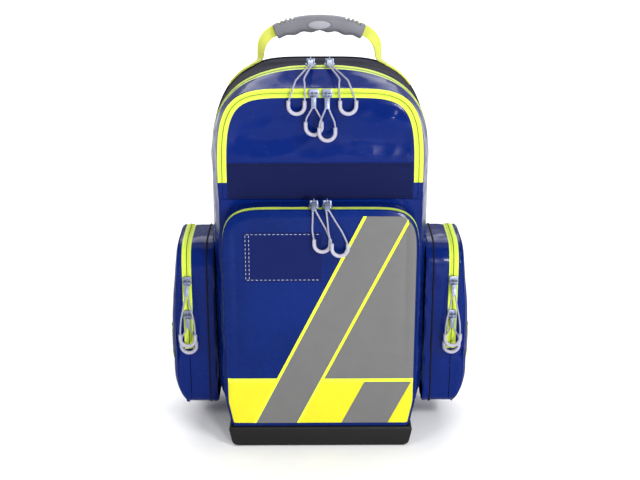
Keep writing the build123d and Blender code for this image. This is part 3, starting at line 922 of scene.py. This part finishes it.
def sidePocket(way, side):
    place = sidePlace(way)
    middle = (way * 188 * mm, sideMiddleY, 0.16)

    def shellLift(around, v, point):
        hold = soft(v, 0, 0.15) * soft(1 - v, 0, 0.15)
        return hold * sideLook["crease"] * 0.8 * ridges(point, 20, 31 if way < 0 else 43), 0

    def coverLift(around, v, point):
        crumple = ridges(point, 16, 51 if way < 0 else 67)
        edge = soft(v, 0.0, 0.18)
        face = soft(v, 0.45, 0.8)
        sag = sideLook["bulge"] * face * sagAt(point.z)
        dentZ = sideLook["dentZ"] + 0.05 * (point.y - sideMiddleY)
        dent = -sideLook["dent"] * soft(12 * mm - abs(point.z - dentZ), 0, 12 * mm)
        return edge * (1 - face) * (sideLook["crease"] * crumple * 0.9 + dent), \
            min(face * (sideLook["crease"] * 0.8 * crumple) + sag * 0.5 - 1.2 * mm * face, 2.5 * mm)

    shell = wrap(side + "Shell", [(sideLoop, sideLook[key]) for key in ("back", "shellFront", "tape")], place,
                 rows=6, lift=shellLift, across=200, outside=middle)
    hem = wrap(side + "ShellHem", [(sideLoop, sideLook["tape"]), (sideLoop, sideGap - gap)], place, rows=2,
               span=(-sideShareLow, sideShareLow), across=90, outside=middle)
    shell = joined(side + "Shell", [shell, hem])
    solidify(shell, sideLook["thick"])
    finishPiece(shell, blueTarp, "pack", [side + "_side_shell"], "blue_tarpaulin")
    innerWall = panelGrid(side + "ShellBack", sideLoop, 159.5 * mm, lambda flat, far: 0, 1 * mm, 30, place)
    lookForward(innerWall, (way, 0, 0))
    solidify(innerWall, 2 * mm)
    finishPiece(innerWall, lining, "pack", slot="navy_textile")
    tapeLow = sideGap + gap
    face = sideLook["face"]
    rim = [(sideLoop, tapeLow), (sideLoop, sideLook["shoulder"]), (sideLoop, face - 5 * mm, 2.2 * mm),
           (sideLoop, face - 1.4 * mm, 6.5 * mm), (sideLoop, face, 13 * mm)]
    flat = [(sideLoop, face + 0.4 * mm, 13 * mm, scale) for scale in (0.6, 0.25, 0.0)]
    cover = wrap(side + "Cover", rim + flat, place, rows=5, lift=coverLift, across=200, outside=middle)
    profile(cover, way)
    solidify(cover, sideLook["thick"])
    finishPiece(cover, blueTarp, side + "_cover", [side + "_side_cover"], "blue_tarpaulin", angle=60)
    # the tape's front half is sewn over the cover's first few millimetres
    tape = wrap(side + "TapeRear", [(sideLoop, sideLook["tape"]), (sideLoop, sideGap - gap)], place, rows=2,
                span=(sideShareLow, 1 - sideShareLow), across=160, outside=middle,
                lift=lambda around, v, point: (0.15 * mm, 0))
    solidify(tape, 1.4 * mm)
    finishPiece(tape, limeTape, "pack", [side + "_side_zip"], "lime_tape")
    tapeFront = wrap(side + "TapeFront", [(sideLoop, tapeLow), (sideLoop, tapeLow + 6.5 * mm)], place, rows=2,
                     span=(sideShareLow, 1 - sideShareLow), across=160, outside=middle,
                     lift=lambda around, v, point: (1.0 * mm, 0))
    solidify(tapeFront, 1.2 * mm)
    finishPiece(tapeFront, limeTape, side + "_cover", slot="lime_tape")
    topTeeth(side + "TeethRear", sideLoop, sideGap - 1.75 * mm, sideShareLow, "pack", place)
    topTeeth(side + "TeethFront", sideLoop, sideGap + 1.75 * mm, sideShareLow, side + "_cover", place, height=1.2 * mm)
    # reflective strip round the cover's outer face
    stripLow, stripHigh, stripEdge = sideLook["stripLow"], sideLook["stripHigh"], sideLook["stripEdge"]

    def stripAround(u, v):
        z = stripLow + (stripHigh - stripLow) * v
        span = sideHalf - 11 * mm
        y = -span + 2 * span * u
        bend = 2.6 * mm * soft(abs(y) - span + 12 * mm, 0, 12 * mm)
        x = sideLook["face"] + 1.7 * mm + 1.2 * mm * sagAt(z) - bend - drawIn(z)
        return (way * x, sideMiddleY + y, z)

    strip = gridPiece(side + "Strip", 40, 10, stripAround)
    lookForward(strip, (way, 0, 0))
    solidify(strip, 1.2 * mm)
    finishPiece(strip, reflective, side + "_cover", slot="reflective_grey")
    for name, z in (("Low", stripLow), ("High", stripHigh - stripEdge)):
        def edgeAt(u, v, z=z):
            spot = stripAround(u, 0)
            return (spot[0] + way * 0.35 * mm, spot[1], z + stripEdge * v)
        edge = gridPiece(side + "StripEdge" + name, 40, 2, edgeAt)
        lookForward(edge, (way, 0, 0))
        solidify(edge, 1.0 * mm)
        finishPiece(edge, limeEdge, side + "_cover", slot="fluorescent_yellow")


sidePocket(-1, "left")
sidePocket(1, "right")
print("side pockets ready")

# back panel: a closed dark panel with a rounded edge
backPiece = wrap("backPanel", [(backLoop, deep["panel"], 0, 0.0), (backLoop, deep["panel"], 3 * mm, 1.0),
                               (backLoop, deep["panel"] - 2 * mm, 0.4 * mm), (backLoop, 8 * mm, 0),
                               (backLoop, 3 * mm, 0.8 * mm), (backLoop, 0.4 * mm, 4 * mm),
                               (backLoop, 0.0, 12 * mm), (backLoop, 0.0, 12 * mm, 0.5), (backLoop, 0.0, 12 * mm, 0.0)],
                 rows=4, outside=(0, backY - 8 * mm, 0.27))
finishPiece(backPiece, navyTextile, "pack", ["back_panel"], "navy_textile", angle=50)


def piping(name, loop, depth, drawn, radius, material, body, span=(0.0, 1.0), place=onPack, count=150, slot=None):
    ring = shrink(loop, drawn) if drawn else loop
    closed = span == (0.0, 1.0)
    steps = count if closed else count + 1
    points = [place(loopAt(ring, span[0] + (span[1] - span[0]) * k / count), depth) for k in range(steps)]
    piece = tube(name, points, radius, closed, 2, False)
    return finishPiece(piece, material, body, slot=slot)


piping("backPiping", backLoop, deep["panel"] + 0.5 * mm, -0.8 * mm, 1.6 * mm, navyTextile, "pack", slot="navy_textile")
piping("pocketPiping", pocketLoop, deep["front"] + 0.8 * mm, -0.6 * mm, 1.4 * mm, blueTarp, "main_lid",
       slot="blue_tarpaulin")
for side, way in (("left", -1), ("right", 1)):
    coverPiping = piping(side + "CoverPiping", sideLoop, 210.5 * mm, 1.9 * mm, 1.3 * mm, blueTarp, side + "_cover",
                         place=sidePlace(way), slot="blue_tarpaulin")
    profile(coverPiping, way)
    piping(side + "ShellPiping", sideLoop, 163 * mm, -0.6 * mm, 1.3 * mm, navyTextile, "pack", place=sidePlace(way),
           slot="navy_textile")


def halfAt(loop, z):
    best = 0.0
    count = len(loop)
    for i in range(count // 2 + 1):
        a, b = loop[i], loop[(i + 1) % count]
        if min(a.y, b.y) <= z <= max(a.y, b.y):
            t = (z - a.y) / (b.y - a.y) if abs(b.y - a.y) > 1e-9 else 0
            best = max(best, a.x + (b.x - a.x) * t)
    return best


# small dark webbing ends sewn into the rear seam beside the lid
sideTab = {"low": 386 * mm, "high": 424 * mm, "deep": 22 * mm, "thick": 2.2 * mm}
for side, way in (("left", -1), ("right", 1)):
    def tabAt(u, v, way=way):
        z = sideTab["low"] + (sideTab["high"] - sideTab["low"]) * v
        half = halfAt(mainLoop, z) + 2.4 * mm + 1.2 * mm * sin(pi * v)
        return (way * half, backY - deep["mainTape"] + 2 * mm + sideTab["deep"] * u, z)
    tab = gridPiece(side + "SeamTab", 6, 12, tabAt)
    lookForward(tab, (way, 0, 0))
    solidify(tab, sideTab["thick"])
    finishPiece(tab, blackWebbing, "pack", slot="black_webbing")

# front graphics: plain slanted bars, the yellow band and the name patch lie on the pocket's own surface
barLook = {"foot": -92 * mm, "slope": 0.495, "width": 58 * mm, "gap": 5 * mm, "edge": 4.6 * mm,
           "low": 38 * mm, "bandTop": 103 * mm, "top": 350 * mm, "block": 30 * mm, "blockWidth": 66 * mm}
pocketInner = shrink(pocketLoop, 3 * mm)
pocketMiddle = (low + pocketTop) / 2


def pocketSurface(x, z):
    far = max(abs(x) / max(halfAt(pocketLoop, z), 1e-6), abs(z - pocketMiddle) / ((pocketTop - low) / 2))
    return deep["pocket"] - 0.2 * mm + pocketRise(Vector((x, z)), min(1.0, far))


def decal(name, leftEdge, rightEdge, zLow, zHigh, raised, material, slot, nodes=(), across=24, along=60,
          thick=0.5 * mm):
    def at(u, v):
        z = zLow + (zHigh - zLow) * v
        limit = halfAt(pocketInner, z)
        a = max(-limit, min(limit, leftEdge(z)))
        b = max(-limit, min(limit, rightEdge(z)))
        x = a + (b - a) * u
        return (x, backY - pocketSurface(x, z) - raised, z)
    piece = gridPiece(name, across, along, at)
    weld(piece)
    lookForward(piece)
    solidify(piece, thick)
    return finishPiece(piece, material, "pocket_lid", nodes, slot, angle=60)


def slantAt(offset):
    return lambda z: barLook["foot"] + offset + barLook["slope"] * (z - barLook["low"])


def level(x):
    return lambda z: x


decal("yellowBand", level(-1), level(1), barLook["low"], barLook["bandTop"], 0.5 * mm, fluorescent,
      "fluorescent_yellow", ["fluorescent_band"], across=60, along=20)
barWidth, barEdge = barLook["width"], barLook["edge"]
secondLow = barLook["bandTop"] + barLook["gap"]
decal("leftBar", slantAt(0), slantAt(barWidth), barLook["low"], barLook["top"], 0.9 * mm, reflective,
      "reflective_grey", ["reflective_bars"])
decal("rightBar", slantAt(barWidth + barLook["gap"]), level(1), secondLow, barLook["top"] - 4 * mm, 0.8 * mm,
      reflective, "reflective_grey")
blockShift = barLook["block"] - barLook["foot"]
decal("shortBar", slantAt(blockShift), slantAt(blockShift + barLook["blockWidth"]), barLook["low"],
      barLook["bandTop"], 0.9 * mm, reflective, "reflective_grey")
edges = {
    "leftBarOuter": (slantAt(-barEdge), slantAt(0.3 * mm), barLook["low"], barLook["top"]),
    "leftBarInner": (slantAt(barWidth - 0.3 * mm), slantAt(barWidth + barEdge), barLook["low"], barLook["top"]),
    "bandTopEdge": (level(-1), level(1), barLook["bandTop"] - 1 * mm, secondLow + 0.3 * mm),
}
for name, (a, b, zLow, zHigh) in edges.items():
    decal(name, a, b, zLow, zHigh, 0.7 * mm, limeEdge, "fluorescent_yellow", across=4 if "Bar" in name else 60,
          along=60 if "Bar" in name else 3)

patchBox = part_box("name_patch")
patchLeft, patchRight = patchBox[0][0], patchBox[1][0]
patchLow, patchHigh = patchBox[0][2], patchBox[1][2]
decal("namePatch", level(patchLeft), level(patchRight), patchLow, patchHigh, 0.9 * mm, patchLoop, "loop_navy",
      ["name_patch"], across=30, along=20, thick=0.9 * mm)
whiteStitch = {"length": 3.4 * mm, "gap": 2.4 * mm}


def patchPoint(x, z):
    return (x, backY - pocketSurface(x, z) - 1.1 * mm, z)


inset = 2.4 * mm
runs = [[patchPoint(patchLeft + inset, patchHigh - inset), patchPoint(patchRight - inset, patchHigh - inset)],
        [patchPoint(patchLeft + inset, patchLow + inset), patchPoint(patchRight - inset, patchLow + inset)],
        [patchPoint(patchLeft + inset, patchLow + inset), patchPoint(patchLeft + inset, patchHigh - inset)],
        [patchPoint(patchLeft + 3 * inset, patchLow + inset), patchPoint(patchLeft + 3 * inset, patchHigh - inset)]]
places = []
for run in runs:
    places += stitchLine(run, (0, -1, 0), whiteStitch["length"] + whiteStitch["gap"])
finishPiece(repeated("patchStitches", stitchSample, places), thread, "pocket_lid", slot="reflective_grey")
print("front graphics ready")


def nodeCopy(name, node):
    clearSelection()
    piece = bpy.data.objects.new(name, frame["nodes"][node].data.copy())
    bpy.context.scene.collection.objects.link(piece)
    weld(piece, 0.00002)
    return piece


def softened(name, node, width, material, body, segments=2):
    piece = nodeCopy(name, node)
    pick(piece)
    bpy.ops.object.mode_set(mode="EDIT")
    bpy.ops.mesh.select_all(action="SELECT")
    bpy.ops.mesh.dissolve_limited(angle_limit=radians(2))
    bpy.ops.object.mode_set(mode="OBJECT")
    edge = piece.modifiers.new("edge", "BEVEL")
    edge.width = width
    edge.segments = segments
    edge.limit_method = "ANGLE"
    edge.angle_limit = radians(35)
    applyAll(piece)
    return finishPiece(piece, material, body, [node], slotOf[node], angle=35)


softened("rearBoot", "rear_boot", 3.5 * mm, blackBase, "pack", segments=4)
softened("frontBoot", "front_boot", 3.5 * mm, blackBase, "main_lid", segments=4)
for node, body in (("chest_socket", "pack"), ("chest_plug", "chest_plug"), ("hip_socket", "hip_left"),
                   ("hip_plug", "hip_right"), ("ladder_locks", "pack")):
    softened(node.replace("_", "") + "Moulded", node, 0.7 * mm, blackPlastic, body)
for node in ("strap_webbing", "chest_webbing"):
    softened(node.replace("_", "") + "Woven", node, 0.5 * mm, blackWebbing, "pack")
for node in frame["nodes"]:
    if "_slider_" in node:
        softened(node.replace("_", "") + "Cast", node, 0.45 * mm, sliderMetal, node)
print("boots, buckles and sliders ready")

# pulls: a stamped tab, a cord loop and a U-shaped grip, from each slider's bail
pullLook = {"tab": (7 * mm, 19 * mm, 2.2 * mm), "cord": 1.15 * mm, "grip": 2.6 * mm, "bend": 10.8 * mm,
            "leg": 5 * mm}
eyes = {joint["child"]: Vector(joint["pos_m"]) for joint in frame["record"]["behaviour"]["joints"]
        if joint["name"].endswith("_swing")}
# for each pull: the tab's slope (forward, up), the cord's bend and the grip, all from the eye as (across, forward, up)
mainBend = (upperTop + 10 * mm) - eyes["main_pull_left"].z
hangs = {
    "main_pull_left": ((62, -18.45), (-14.25, 62, mainBend / mm), (-19, 64.5, -50.45)),
    "main_pull_right": ((62, -18.45), (18, 62, mainBend / mm), (24, 64.5, -50.45)),
    "upper_pull_left": ((0, -20), None, (0, 1.05, -43.8)),
    "upper_pull_right": ((4.5, -20), None, (0, 8.55, -49.8)),
    "pocket_pull_left": ((16, -8), None, (11, 16, -56.45)),
    "pocket_pull_right": ((16, -8), None, (17, 22, -60.45)),
}
for side in ("left", "right"):
    hangs[side + "_side_pull_high"] = ((6, -20), None, (0, 8.05, -84))
    hangs[side + "_side_pull_low"] = ((-1.5, -20), None, (0, -1.95, -47))


def pullPiece(node):
    slope, bend, grip = hangs[node]
    eye = eyes[node]

    def at(across, forward, up):
        return eye + Vector((across, -forward, up))

    run = sqrt(slope[0] ** 2 + slope[1] ** 2)
    ahead = Vector((0, -slope[0] / run, slope[1] / run))
    width, length, thick = pullLook["tab"]
    tab = block(node + "Tab", (-width / 2, 2.8 * mm, -thick / 2), (width / 2, length, thick / 2), 0.9 * mm, 3)
    recess = block(node + "Recess", (-width / 2 + 1.7 * mm, 6 * mm, -thick / 2 - 0.2 * mm),
                   (width / 2 - 1.7 * mm, length - 3 * mm, thick / 2 + 0.2 * mm), 0.5 * mm, 2)
    across = Vector((1, 0, 0))
    turn = Matrix((across, ahead, across.cross(ahead))).transposed().to_4x4()
    for piece in (tab, recess):
        piece.data.transform(Matrix.Translation(eye) @ turn)
    clearSelection()
    bpy.ops.mesh.primitive_torus_add(location=eye, rotation=(0, radians(90), 0), major_radius=2.75 * mm,
                                     minor_radius=0.85 * mm, major_segments=24, minor_segments=10)
    ring = bpy.context.object
    settle(ring)
    for piece in (tab, recess, ring):
        dress(piece, sliderMetal)
    end = eye + ahead * (length - 2 * mm)
    gx, gd, gz = [v * mm for v in grip]
    pieces = [tab, recess, ring]
    if node.startswith("main_"):
        # the tab is kept as a stiff piece of its own, apart from the cord and grip
        stiff = joined(node.replace("_", "") + "Tab", pieces)
        smooth(stiff, 50)
        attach(stiff, node)
        pieces = []
    for s in (-1, 1):
        top = at(gx + s * pullLook["bend"], gd, gz + pullLook["leg"])
        points = [end + Vector((s * 1.6 * mm, 0, 0))]
        if bend:
            bx, bd, bz = [v * mm for v in bend]
            points.append(at(bx + s * 4 * mm, bd - 6 * mm, bz + 3 * mm))
            points.append(at(bx + s * 7 * mm, bd, bz))
        else:
            points.append(points[0].lerp(top, 0.3) + Vector((s * 0.6 * mm, 0, 0)))
            points.append(points[0].lerp(top, 0.72) + Vector((s * 2.4 * mm, 0, 0)))
        points.append(top)
        cord = tube(node + "Cord", points, pullLook["cord"], resolution=3)
        dress(cord, pullCord)
        pieces.append(cord)
    arc = []
    for k in range(21):
        angle = pi + pi * k / 20
        arc.append(at(gx + cos(angle) * pullLook["bend"], gd, gz + sin(angle) * pullLook["bend"]))
    left, right = [at(gx + s * pullLook["bend"], gd, gz + pullLook["leg"] + 2 * mm) for s in (-1, 1)]
    loopGrip = tube(node + "Grip", [left] + arc + [right], pullLook["grip"], resolution=4, smoothLine=False)
    dress(loopGrip, pullPlastic)
    pieces.append(loopGrip)
    piece = joined(node.replace("_", "") + "Hanging", pieces)
    smooth(piece, 50)
    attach(piece, node)
    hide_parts(node)
    if node.startswith("main_"):
        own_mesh(piece)
    return piece


for node in hangs:
    pullPiece(node)
print("pulls ready")

# handle: a moulded grip with end notches and finger scallops on a twisted webbing bow
gripLook = {"half": 64 * mm, "rise": 12 * mm, "tall": 25.4 * mm, "deep": 23.6 * mm, "notch": 2.4 * mm,
            "notchFrom": 36 * mm, "notchPitch": 6 * mm, "notchWide": 2.8 * mm, "notches": 4,
            "scallop": 2.6 * mm, "fingers": 5, "rows": 150}
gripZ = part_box("handle_grip")[1][2] - 13 * mm - gripLook["rise"]
handleDepth = 8 * mm


def gripAt(u, v):
    rows = gripLook["rows"]
    k = round(v * rows)
    size = 1.0
    if k == 0 or k == rows:
        size = 0.0
    elif k == 1 or k == rows - 1:
        size = 0.88
    along = (max(1, min(rows - 1, k)) - 1) / (rows - 2)
    x = gripLook["half"] * (2 * along - 1)
    middle = gripZ + gripLook["rise"] * (1 - (x / gripLook["half"]) ** 2)
    slope = -2 * gripLook["rise"] * x / gripLook["half"] ** 2
    up = Vector((-slope, 0, 1)).normalized()
    angle = 2 * pi * u
    c, s = cos(angle), sin(angle)
    high = gripLook["tall"] / 2
    wide = gripLook["deep"] / 2
    end = soft(abs(x), 44 * mm, 64 * mm)
    high *= 1 - 0.12 * end
    wide *= 1 - 0.1 * end
    sx = abs(c) ** 0.8 * (1 if c > 0 else -1) * wide
    sz = abs(s) ** 0.8 * (1 if s > 0 else -1) * high
    if s > 0.55:
        offset = abs(x) - gripLook["notchFrom"]
        pitch = gripLook["notchPitch"]
        if 0 < offset < gripLook["notches"] * pitch and offset % pitch < gripLook["notchWide"]:
            sz -= gripLook["notch"] * soft(s, 0.55, 0.85)
    if s < 0:
        wave = 0.5 + 0.5 * cos(2 * pi * gripLook["fingers"] * along)
        sz += gripLook["scallop"] * (1 - wave) * soft(-s, 0.1, 0.8) * (1 - end * 0.6)
    return Vector((x, backY - handleDepth, middle)) + up * sz * size + Vector((0, -sx * size, 0))


grip = gridPiece("moulded_grip", 48, gripLook["rows"], gripAt)
weld(grip)
faceOut(grip, (0, backY - handleDepth, gripZ + gripLook["rise"]))
finishPiece(grip, gripRubber, "handle", ["handle_grip"], "grey_grip", angle=38)
medal = {"half": 17 * mm, "tall": 6.8 * mm}
medalZ = gripZ + gripLook["rise"]
medalY = backY - handleDepth - gripLook["deep"] / 2 - 0.2 * mm
turns = [2 * pi * k / 48 for k in range(48)]
ring = tube("medalRim", [(medal["half"] * cos(a), medalY, medalZ + medal["tall"] * sin(a)) for a in turns],
            1.0 * mm, True, 3, False)
finishPiece(ring, gripRubber, "handle", slot="grey_grip")
clearSelection()
bpy.ops.mesh.primitive_uv_sphere_add(segments=48, ring_count=16, location=(0, medalY + 0.5 * mm, medalZ))
disc = bpy.context.object
disc.name = "medalFace"
disc.scale = (medal["half"], 1.0 * mm, medal["tall"])
settle(disc)
finishPiece(disc, moulded("gripMedal", srgb(150, 150, 160), rough=0.4, grain=0.00005), "handle", slot="grey_grip")

webLook = {"width": 17 * mm, "thick": 2.2 * mm, "twist": 58, "tabFrom": 95 * mm, "tabBack": 7 * mm,
           "tabWide": 23 * mm, "tabThick": 1.8 * mm, "curl": 8 * mm}
bowFeet = {}


def bowSide(way):
    path = [Vector((44, 0, 571)), Vector((58, 0, 565)), Vector((72, 0.5, 560)), Vector((82, 1, 549)),
            Vector((86, 0, 538)), Vector((86.5, 0, 527))]
    line = bpy.data.curves.new("bow", "CURVE")
    line.dimensions = "3D"
    line.resolution_u = 12
    spline = line.splines.new("NURBS")
    spline.points.add(len(path) - 1)
    for point, spot in zip(spline.points, path):
        point.co = (way * spot.x * mm, backY - handleDepth - spot.y * mm, spot.z * mm, 1)
    spline.order_u = 3
    spline.use_endpoint_u = True
    holder = bpy.data.objects.new("bowLine", line)
    bpy.context.scene.collection.objects.link(holder)
    mesh = bpy.data.meshes.new_from_object(holder)
    spots = [v.co.copy() for v in mesh.vertices]
    bpy.data.objects.remove(holder)
    lengths = [0.0]
    for a, b in zip(spots, spots[1:]):
        lengths.append(lengths[-1] + (b - a).length)

    def at(u, v):
        want = lengths[-1] * v
        i = max(k for k in range(len(lengths) - 1) if lengths[k] <= want + 1e-9)
        t = min(1.0, (want - lengths[i]) / max(1e-9, lengths[i + 1] - lengths[i]))
        spot = spots[i].lerp(spots[i + 1], t)
        ahead = (spots[i + 1] - spots[i]).normalized()
        twist = radians(webLook["twist"]) * soft(v, 0.35, 1.0)
        flatWay = ahead.cross(Vector((0, -1, 0))).normalized()
        across = (Matrix.Rotation(-way * twist, 3, ahead) @ flatWay)
        width = webLook["width"] * (1 - 0.12 * sin(pi * soft(v, 0.3, 1.0)))
        return spot + across * width * (u - 0.5)

    bowFeet[way] = sorted((at(0, 1), at(1, 1)), key=lambda p: -p.y)
    piece = gridPiece("bowWeb" + ("L" if way < 0 else "R"), 8, 60, at)
    solidify(piece, webLook["thick"], 0)
    return piece


bow = joined("handleBow", [bowSide(-1), bowSide(1)])
finishPiece(bow, limeWebbing, "handle", ["handle_webbing"], "lime_tape", angle=50)

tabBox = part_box("handle_tabs")


def tabSide(way):
    samples = [loopAt(backLoop, 0.1 + 0.4 * k / 800) for k in range(801)]
    chosen = [p for p in samples if webLook["tabFrom"] <= p.x <= tabBox[1][0] and p.y > backTop - 60 * mm]
    chosen.sort(key=lambda p: p.x)

    def at(u, v):
        i = min(len(chosen) - 2, int(v * (len(chosen) - 1)))
        t = v * (len(chosen) - 1) - i
        flat = chosen[i].lerp(chosen[i + 1], t)
        along = (chosen[i + 1] - chosen[i]).normalized()
        out = Vector((-along.y, along.x))
        # the wall rises forward, so the tab rises with it
        depth = webLook["tabBack"] + webLook["tabWide"] * u
        rise = max(0.0, depth - deep["panel"]) * 0.1
        flat = flat + out * (2.3 * mm + rise)
        return (way * flat.x, backY - depth, flat.y)

    def rising(u, v):
        # the webbing leaves the wall and stands up to the bow's foot
        low = Vector(at(u, 0.05))
        inward = (Vector(at(u, 0)) - Vector(at(u, 0.1))).normalized()
        high = bowFeet[way][0].lerp(bowFeet[way][1], u)
        curl = webLook["curl"]
        hold = [low, low + inward * curl, high - Vector((0, 0, curl)), high + Vector((0, 0, 0.8 * mm))]
        w = 1 - v
        return hold[0] * w ** 3 + hold[1] * (3 * w * w * v) + hold[2] * (3 * w * v * v) + hold[3] * v ** 3

    foot = gridPiece("foot" + ("L" if way < 0 else "R"), 8, 24, rising)
    solidify(foot, webLook["tabThick"], 0)
    feet.append(foot)
    piece = gridPiece("tab" + ("L" if way < 0 else "R"), 6, 30, at)
    lookForward(piece, (0, 0, 1))
    solidify(piece, webLook["tabThick"])
    corners = [at(0.12, 0.3), at(0.88, 0.3), at(0.88, 0.93), at(0.12, 0.93), at(0.12, 0.3), at(0.88, 0.93)]
    out = (way * 0.4, 0, 0.9)
    marks = []
    for line in (corners, (at(0.88, 0.3), at(0.12, 0.93))):
        marks += stitchLine([Vector(c) + Vector(out) * 0.2 * mm for c in line], out, stitchLook["length"])
    return piece, marks


feet = []
leftTab, leftMarks = tabSide(-1)
rightTab, rightMarks = tabSide(1)
handleFeet = joined("handleFeet", feet)
dress(handleFeet, limeWebbing)
smooth(handleFeet, 50)
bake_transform(handleFeet)
finishPiece(joined("handleTabs", [leftTab, rightTab]), limeWebbing, "pack", ["handle_tabs"], "lime_tape", angle=50)
finishPiece(repeated("tabStitches", stitchSample, leftMarks + rightMarks), limeEdge, "pack", slot="lime_tape")
print("handle ready")

# harness: padded pieces swell from the imported shapes; the strap and chest webbing were softened above with the
# buckles
padLook = {"voxel": 5 * mm, "pressure": 4.0, "cap": 3.2 * mm, "shrink": 0.9 * mm}


def paddedFrom(name, node, material, body):
    piece = nodeCopy(name, node)
    pick(piece)
    remesh = piece.modifiers.new("even", "REMESH")
    remesh.mode = "VOXEL"
    remesh.voxel_size = padLook["voxel"]
    applyAll(piece)
    bpy.ops.object.mode_set(mode="EDIT")
    bpy.ops.mesh.select_all(action="SELECT")
    bpy.ops.transform.shrink_fatten(value=-padLook["shrink"])
    bpy.ops.object.mode_set(mode="OBJECT")
    start = [p.co.copy() for p in piece.data.vertices]
    cloth = piece.modifiers.new("swell", "CLOTH")
    cloth.settings.quality = 5
    cloth.settings.use_pressure = True
    cloth.settings.uniform_pressure_force = padLook["pressure"]
    cloth.settings.effector_weights.gravity = 0
    cloth.collision_settings.use_collision = False
    cloth.point_cache.frame_start = 1
    cloth.point_cache.frame_end = 20
    for step in range(1, 21):
        bpy.context.scene.frame_set(step)
    applyAll(piece)
    bpy.context.scene.frame_set(1)
    for point, before in zip(piece.data.vertices, start):
        move = point.co - before
        if move.length > padLook["cap"]:
            point.co = before + move.normalized() * padLook["cap"]
    subdivide(piece)
    return finishPiece(piece, material, body, [node], "navy_textile", angle=80)


for name, node, body in (("backPads", "back_pads", "pack"), ("shoulderStrapLeft", "shoulder_strap_left", "pack"),
                         ("shoulderStrapRight", "shoulder_strap_right", "pack"),
                         ("hipWingLeft", "hip_wing_left", "hip_left"), ("hipWingRight", "hip_wing_right", "hip_right")):
    paddedFrom(name, node, navyTextile, body)
print("harness ready")

for sample in (stitchSample, toothSample):
    bpy.data.objects.remove(sample)

# camera, floor and lights
view = {"distance": 1750 * mm, "height": 860 * mm, "across": -12 * mm, "tilt": 19.68, "lens": 66.9}
bpy.ops.object.camera_add(location=(view["across"], backY - view["distance"], view["height"]),
                          rotation=(radians(90 - view["tilt"]), 0, radians(-0.42)))
camera = bpy.context.object
camera.data.lens = view["lens"]
camera.data.sensor_width = 36
camera.data.clip_end = 50
bpy.context.scene.camera = camera
bpy.context.scene.view_settings.view_transform = "Standard"

clearSelection()
bpy.ops.mesh.primitive_plane_add(size=14, location=(0, 0, -0.0005))
floorPlane = bpy.context.object
floorPlane.name = "studioFloor"
settle(floorPlane)
dress(floorPlane, moulded("paleFloor", (0.93, 0.93, 0.935), rough=0.6, grain=0.00001, spread=0.01))


def softLight(name, place, aim, size, power):
    clearSelection()
    bpy.ops.object.light_add(type="AREA", location=place)
    lamp = bpy.context.object
    lamp.name = name
    lamp.data.shape = "RECTANGLE"
    lamp.data.size = size[0]
    lamp.data.size_y = size[1]
    lamp.data.energy = power
    lamp.rotation_euler = (Vector(aim) - Vector(place)).to_track_quat("-Z", "Y").to_euler()
    return lamp


softLight("keyLeft", (-2.0, -1.8, 1.9), (0, 0, 0.25), (1.3, 1.3), 26)
softLight("keyRight", (1.35, -1.5, 1.75), (0, 0, 0.35), (0.75, 0.6), 30)
softLight("topBox", (0.0, 0.35, 2.3), (0, 0, 0.3), (2.2, 1.2), 13)
softLight("rearBox", (0.0, 3.4, 2.8), (0, 2.2, 0.0), (5.0, 2.5), 170)
softLight("lowRight", (0.75, -2.3, 0.6), (0.1, -0.1, 0.48), (0.4, 0.3), 38)
world = bpy.data.worlds.new("studio")
bpy.context.scene.world = world
world.use_nodes = True
world.node_tree.nodes["Background"].inputs["Color"].default_value = (1, 1, 1, 1)
world.node_tree.nodes["Background"].inputs["Strength"].default_value = 0.42
print("stage ready")
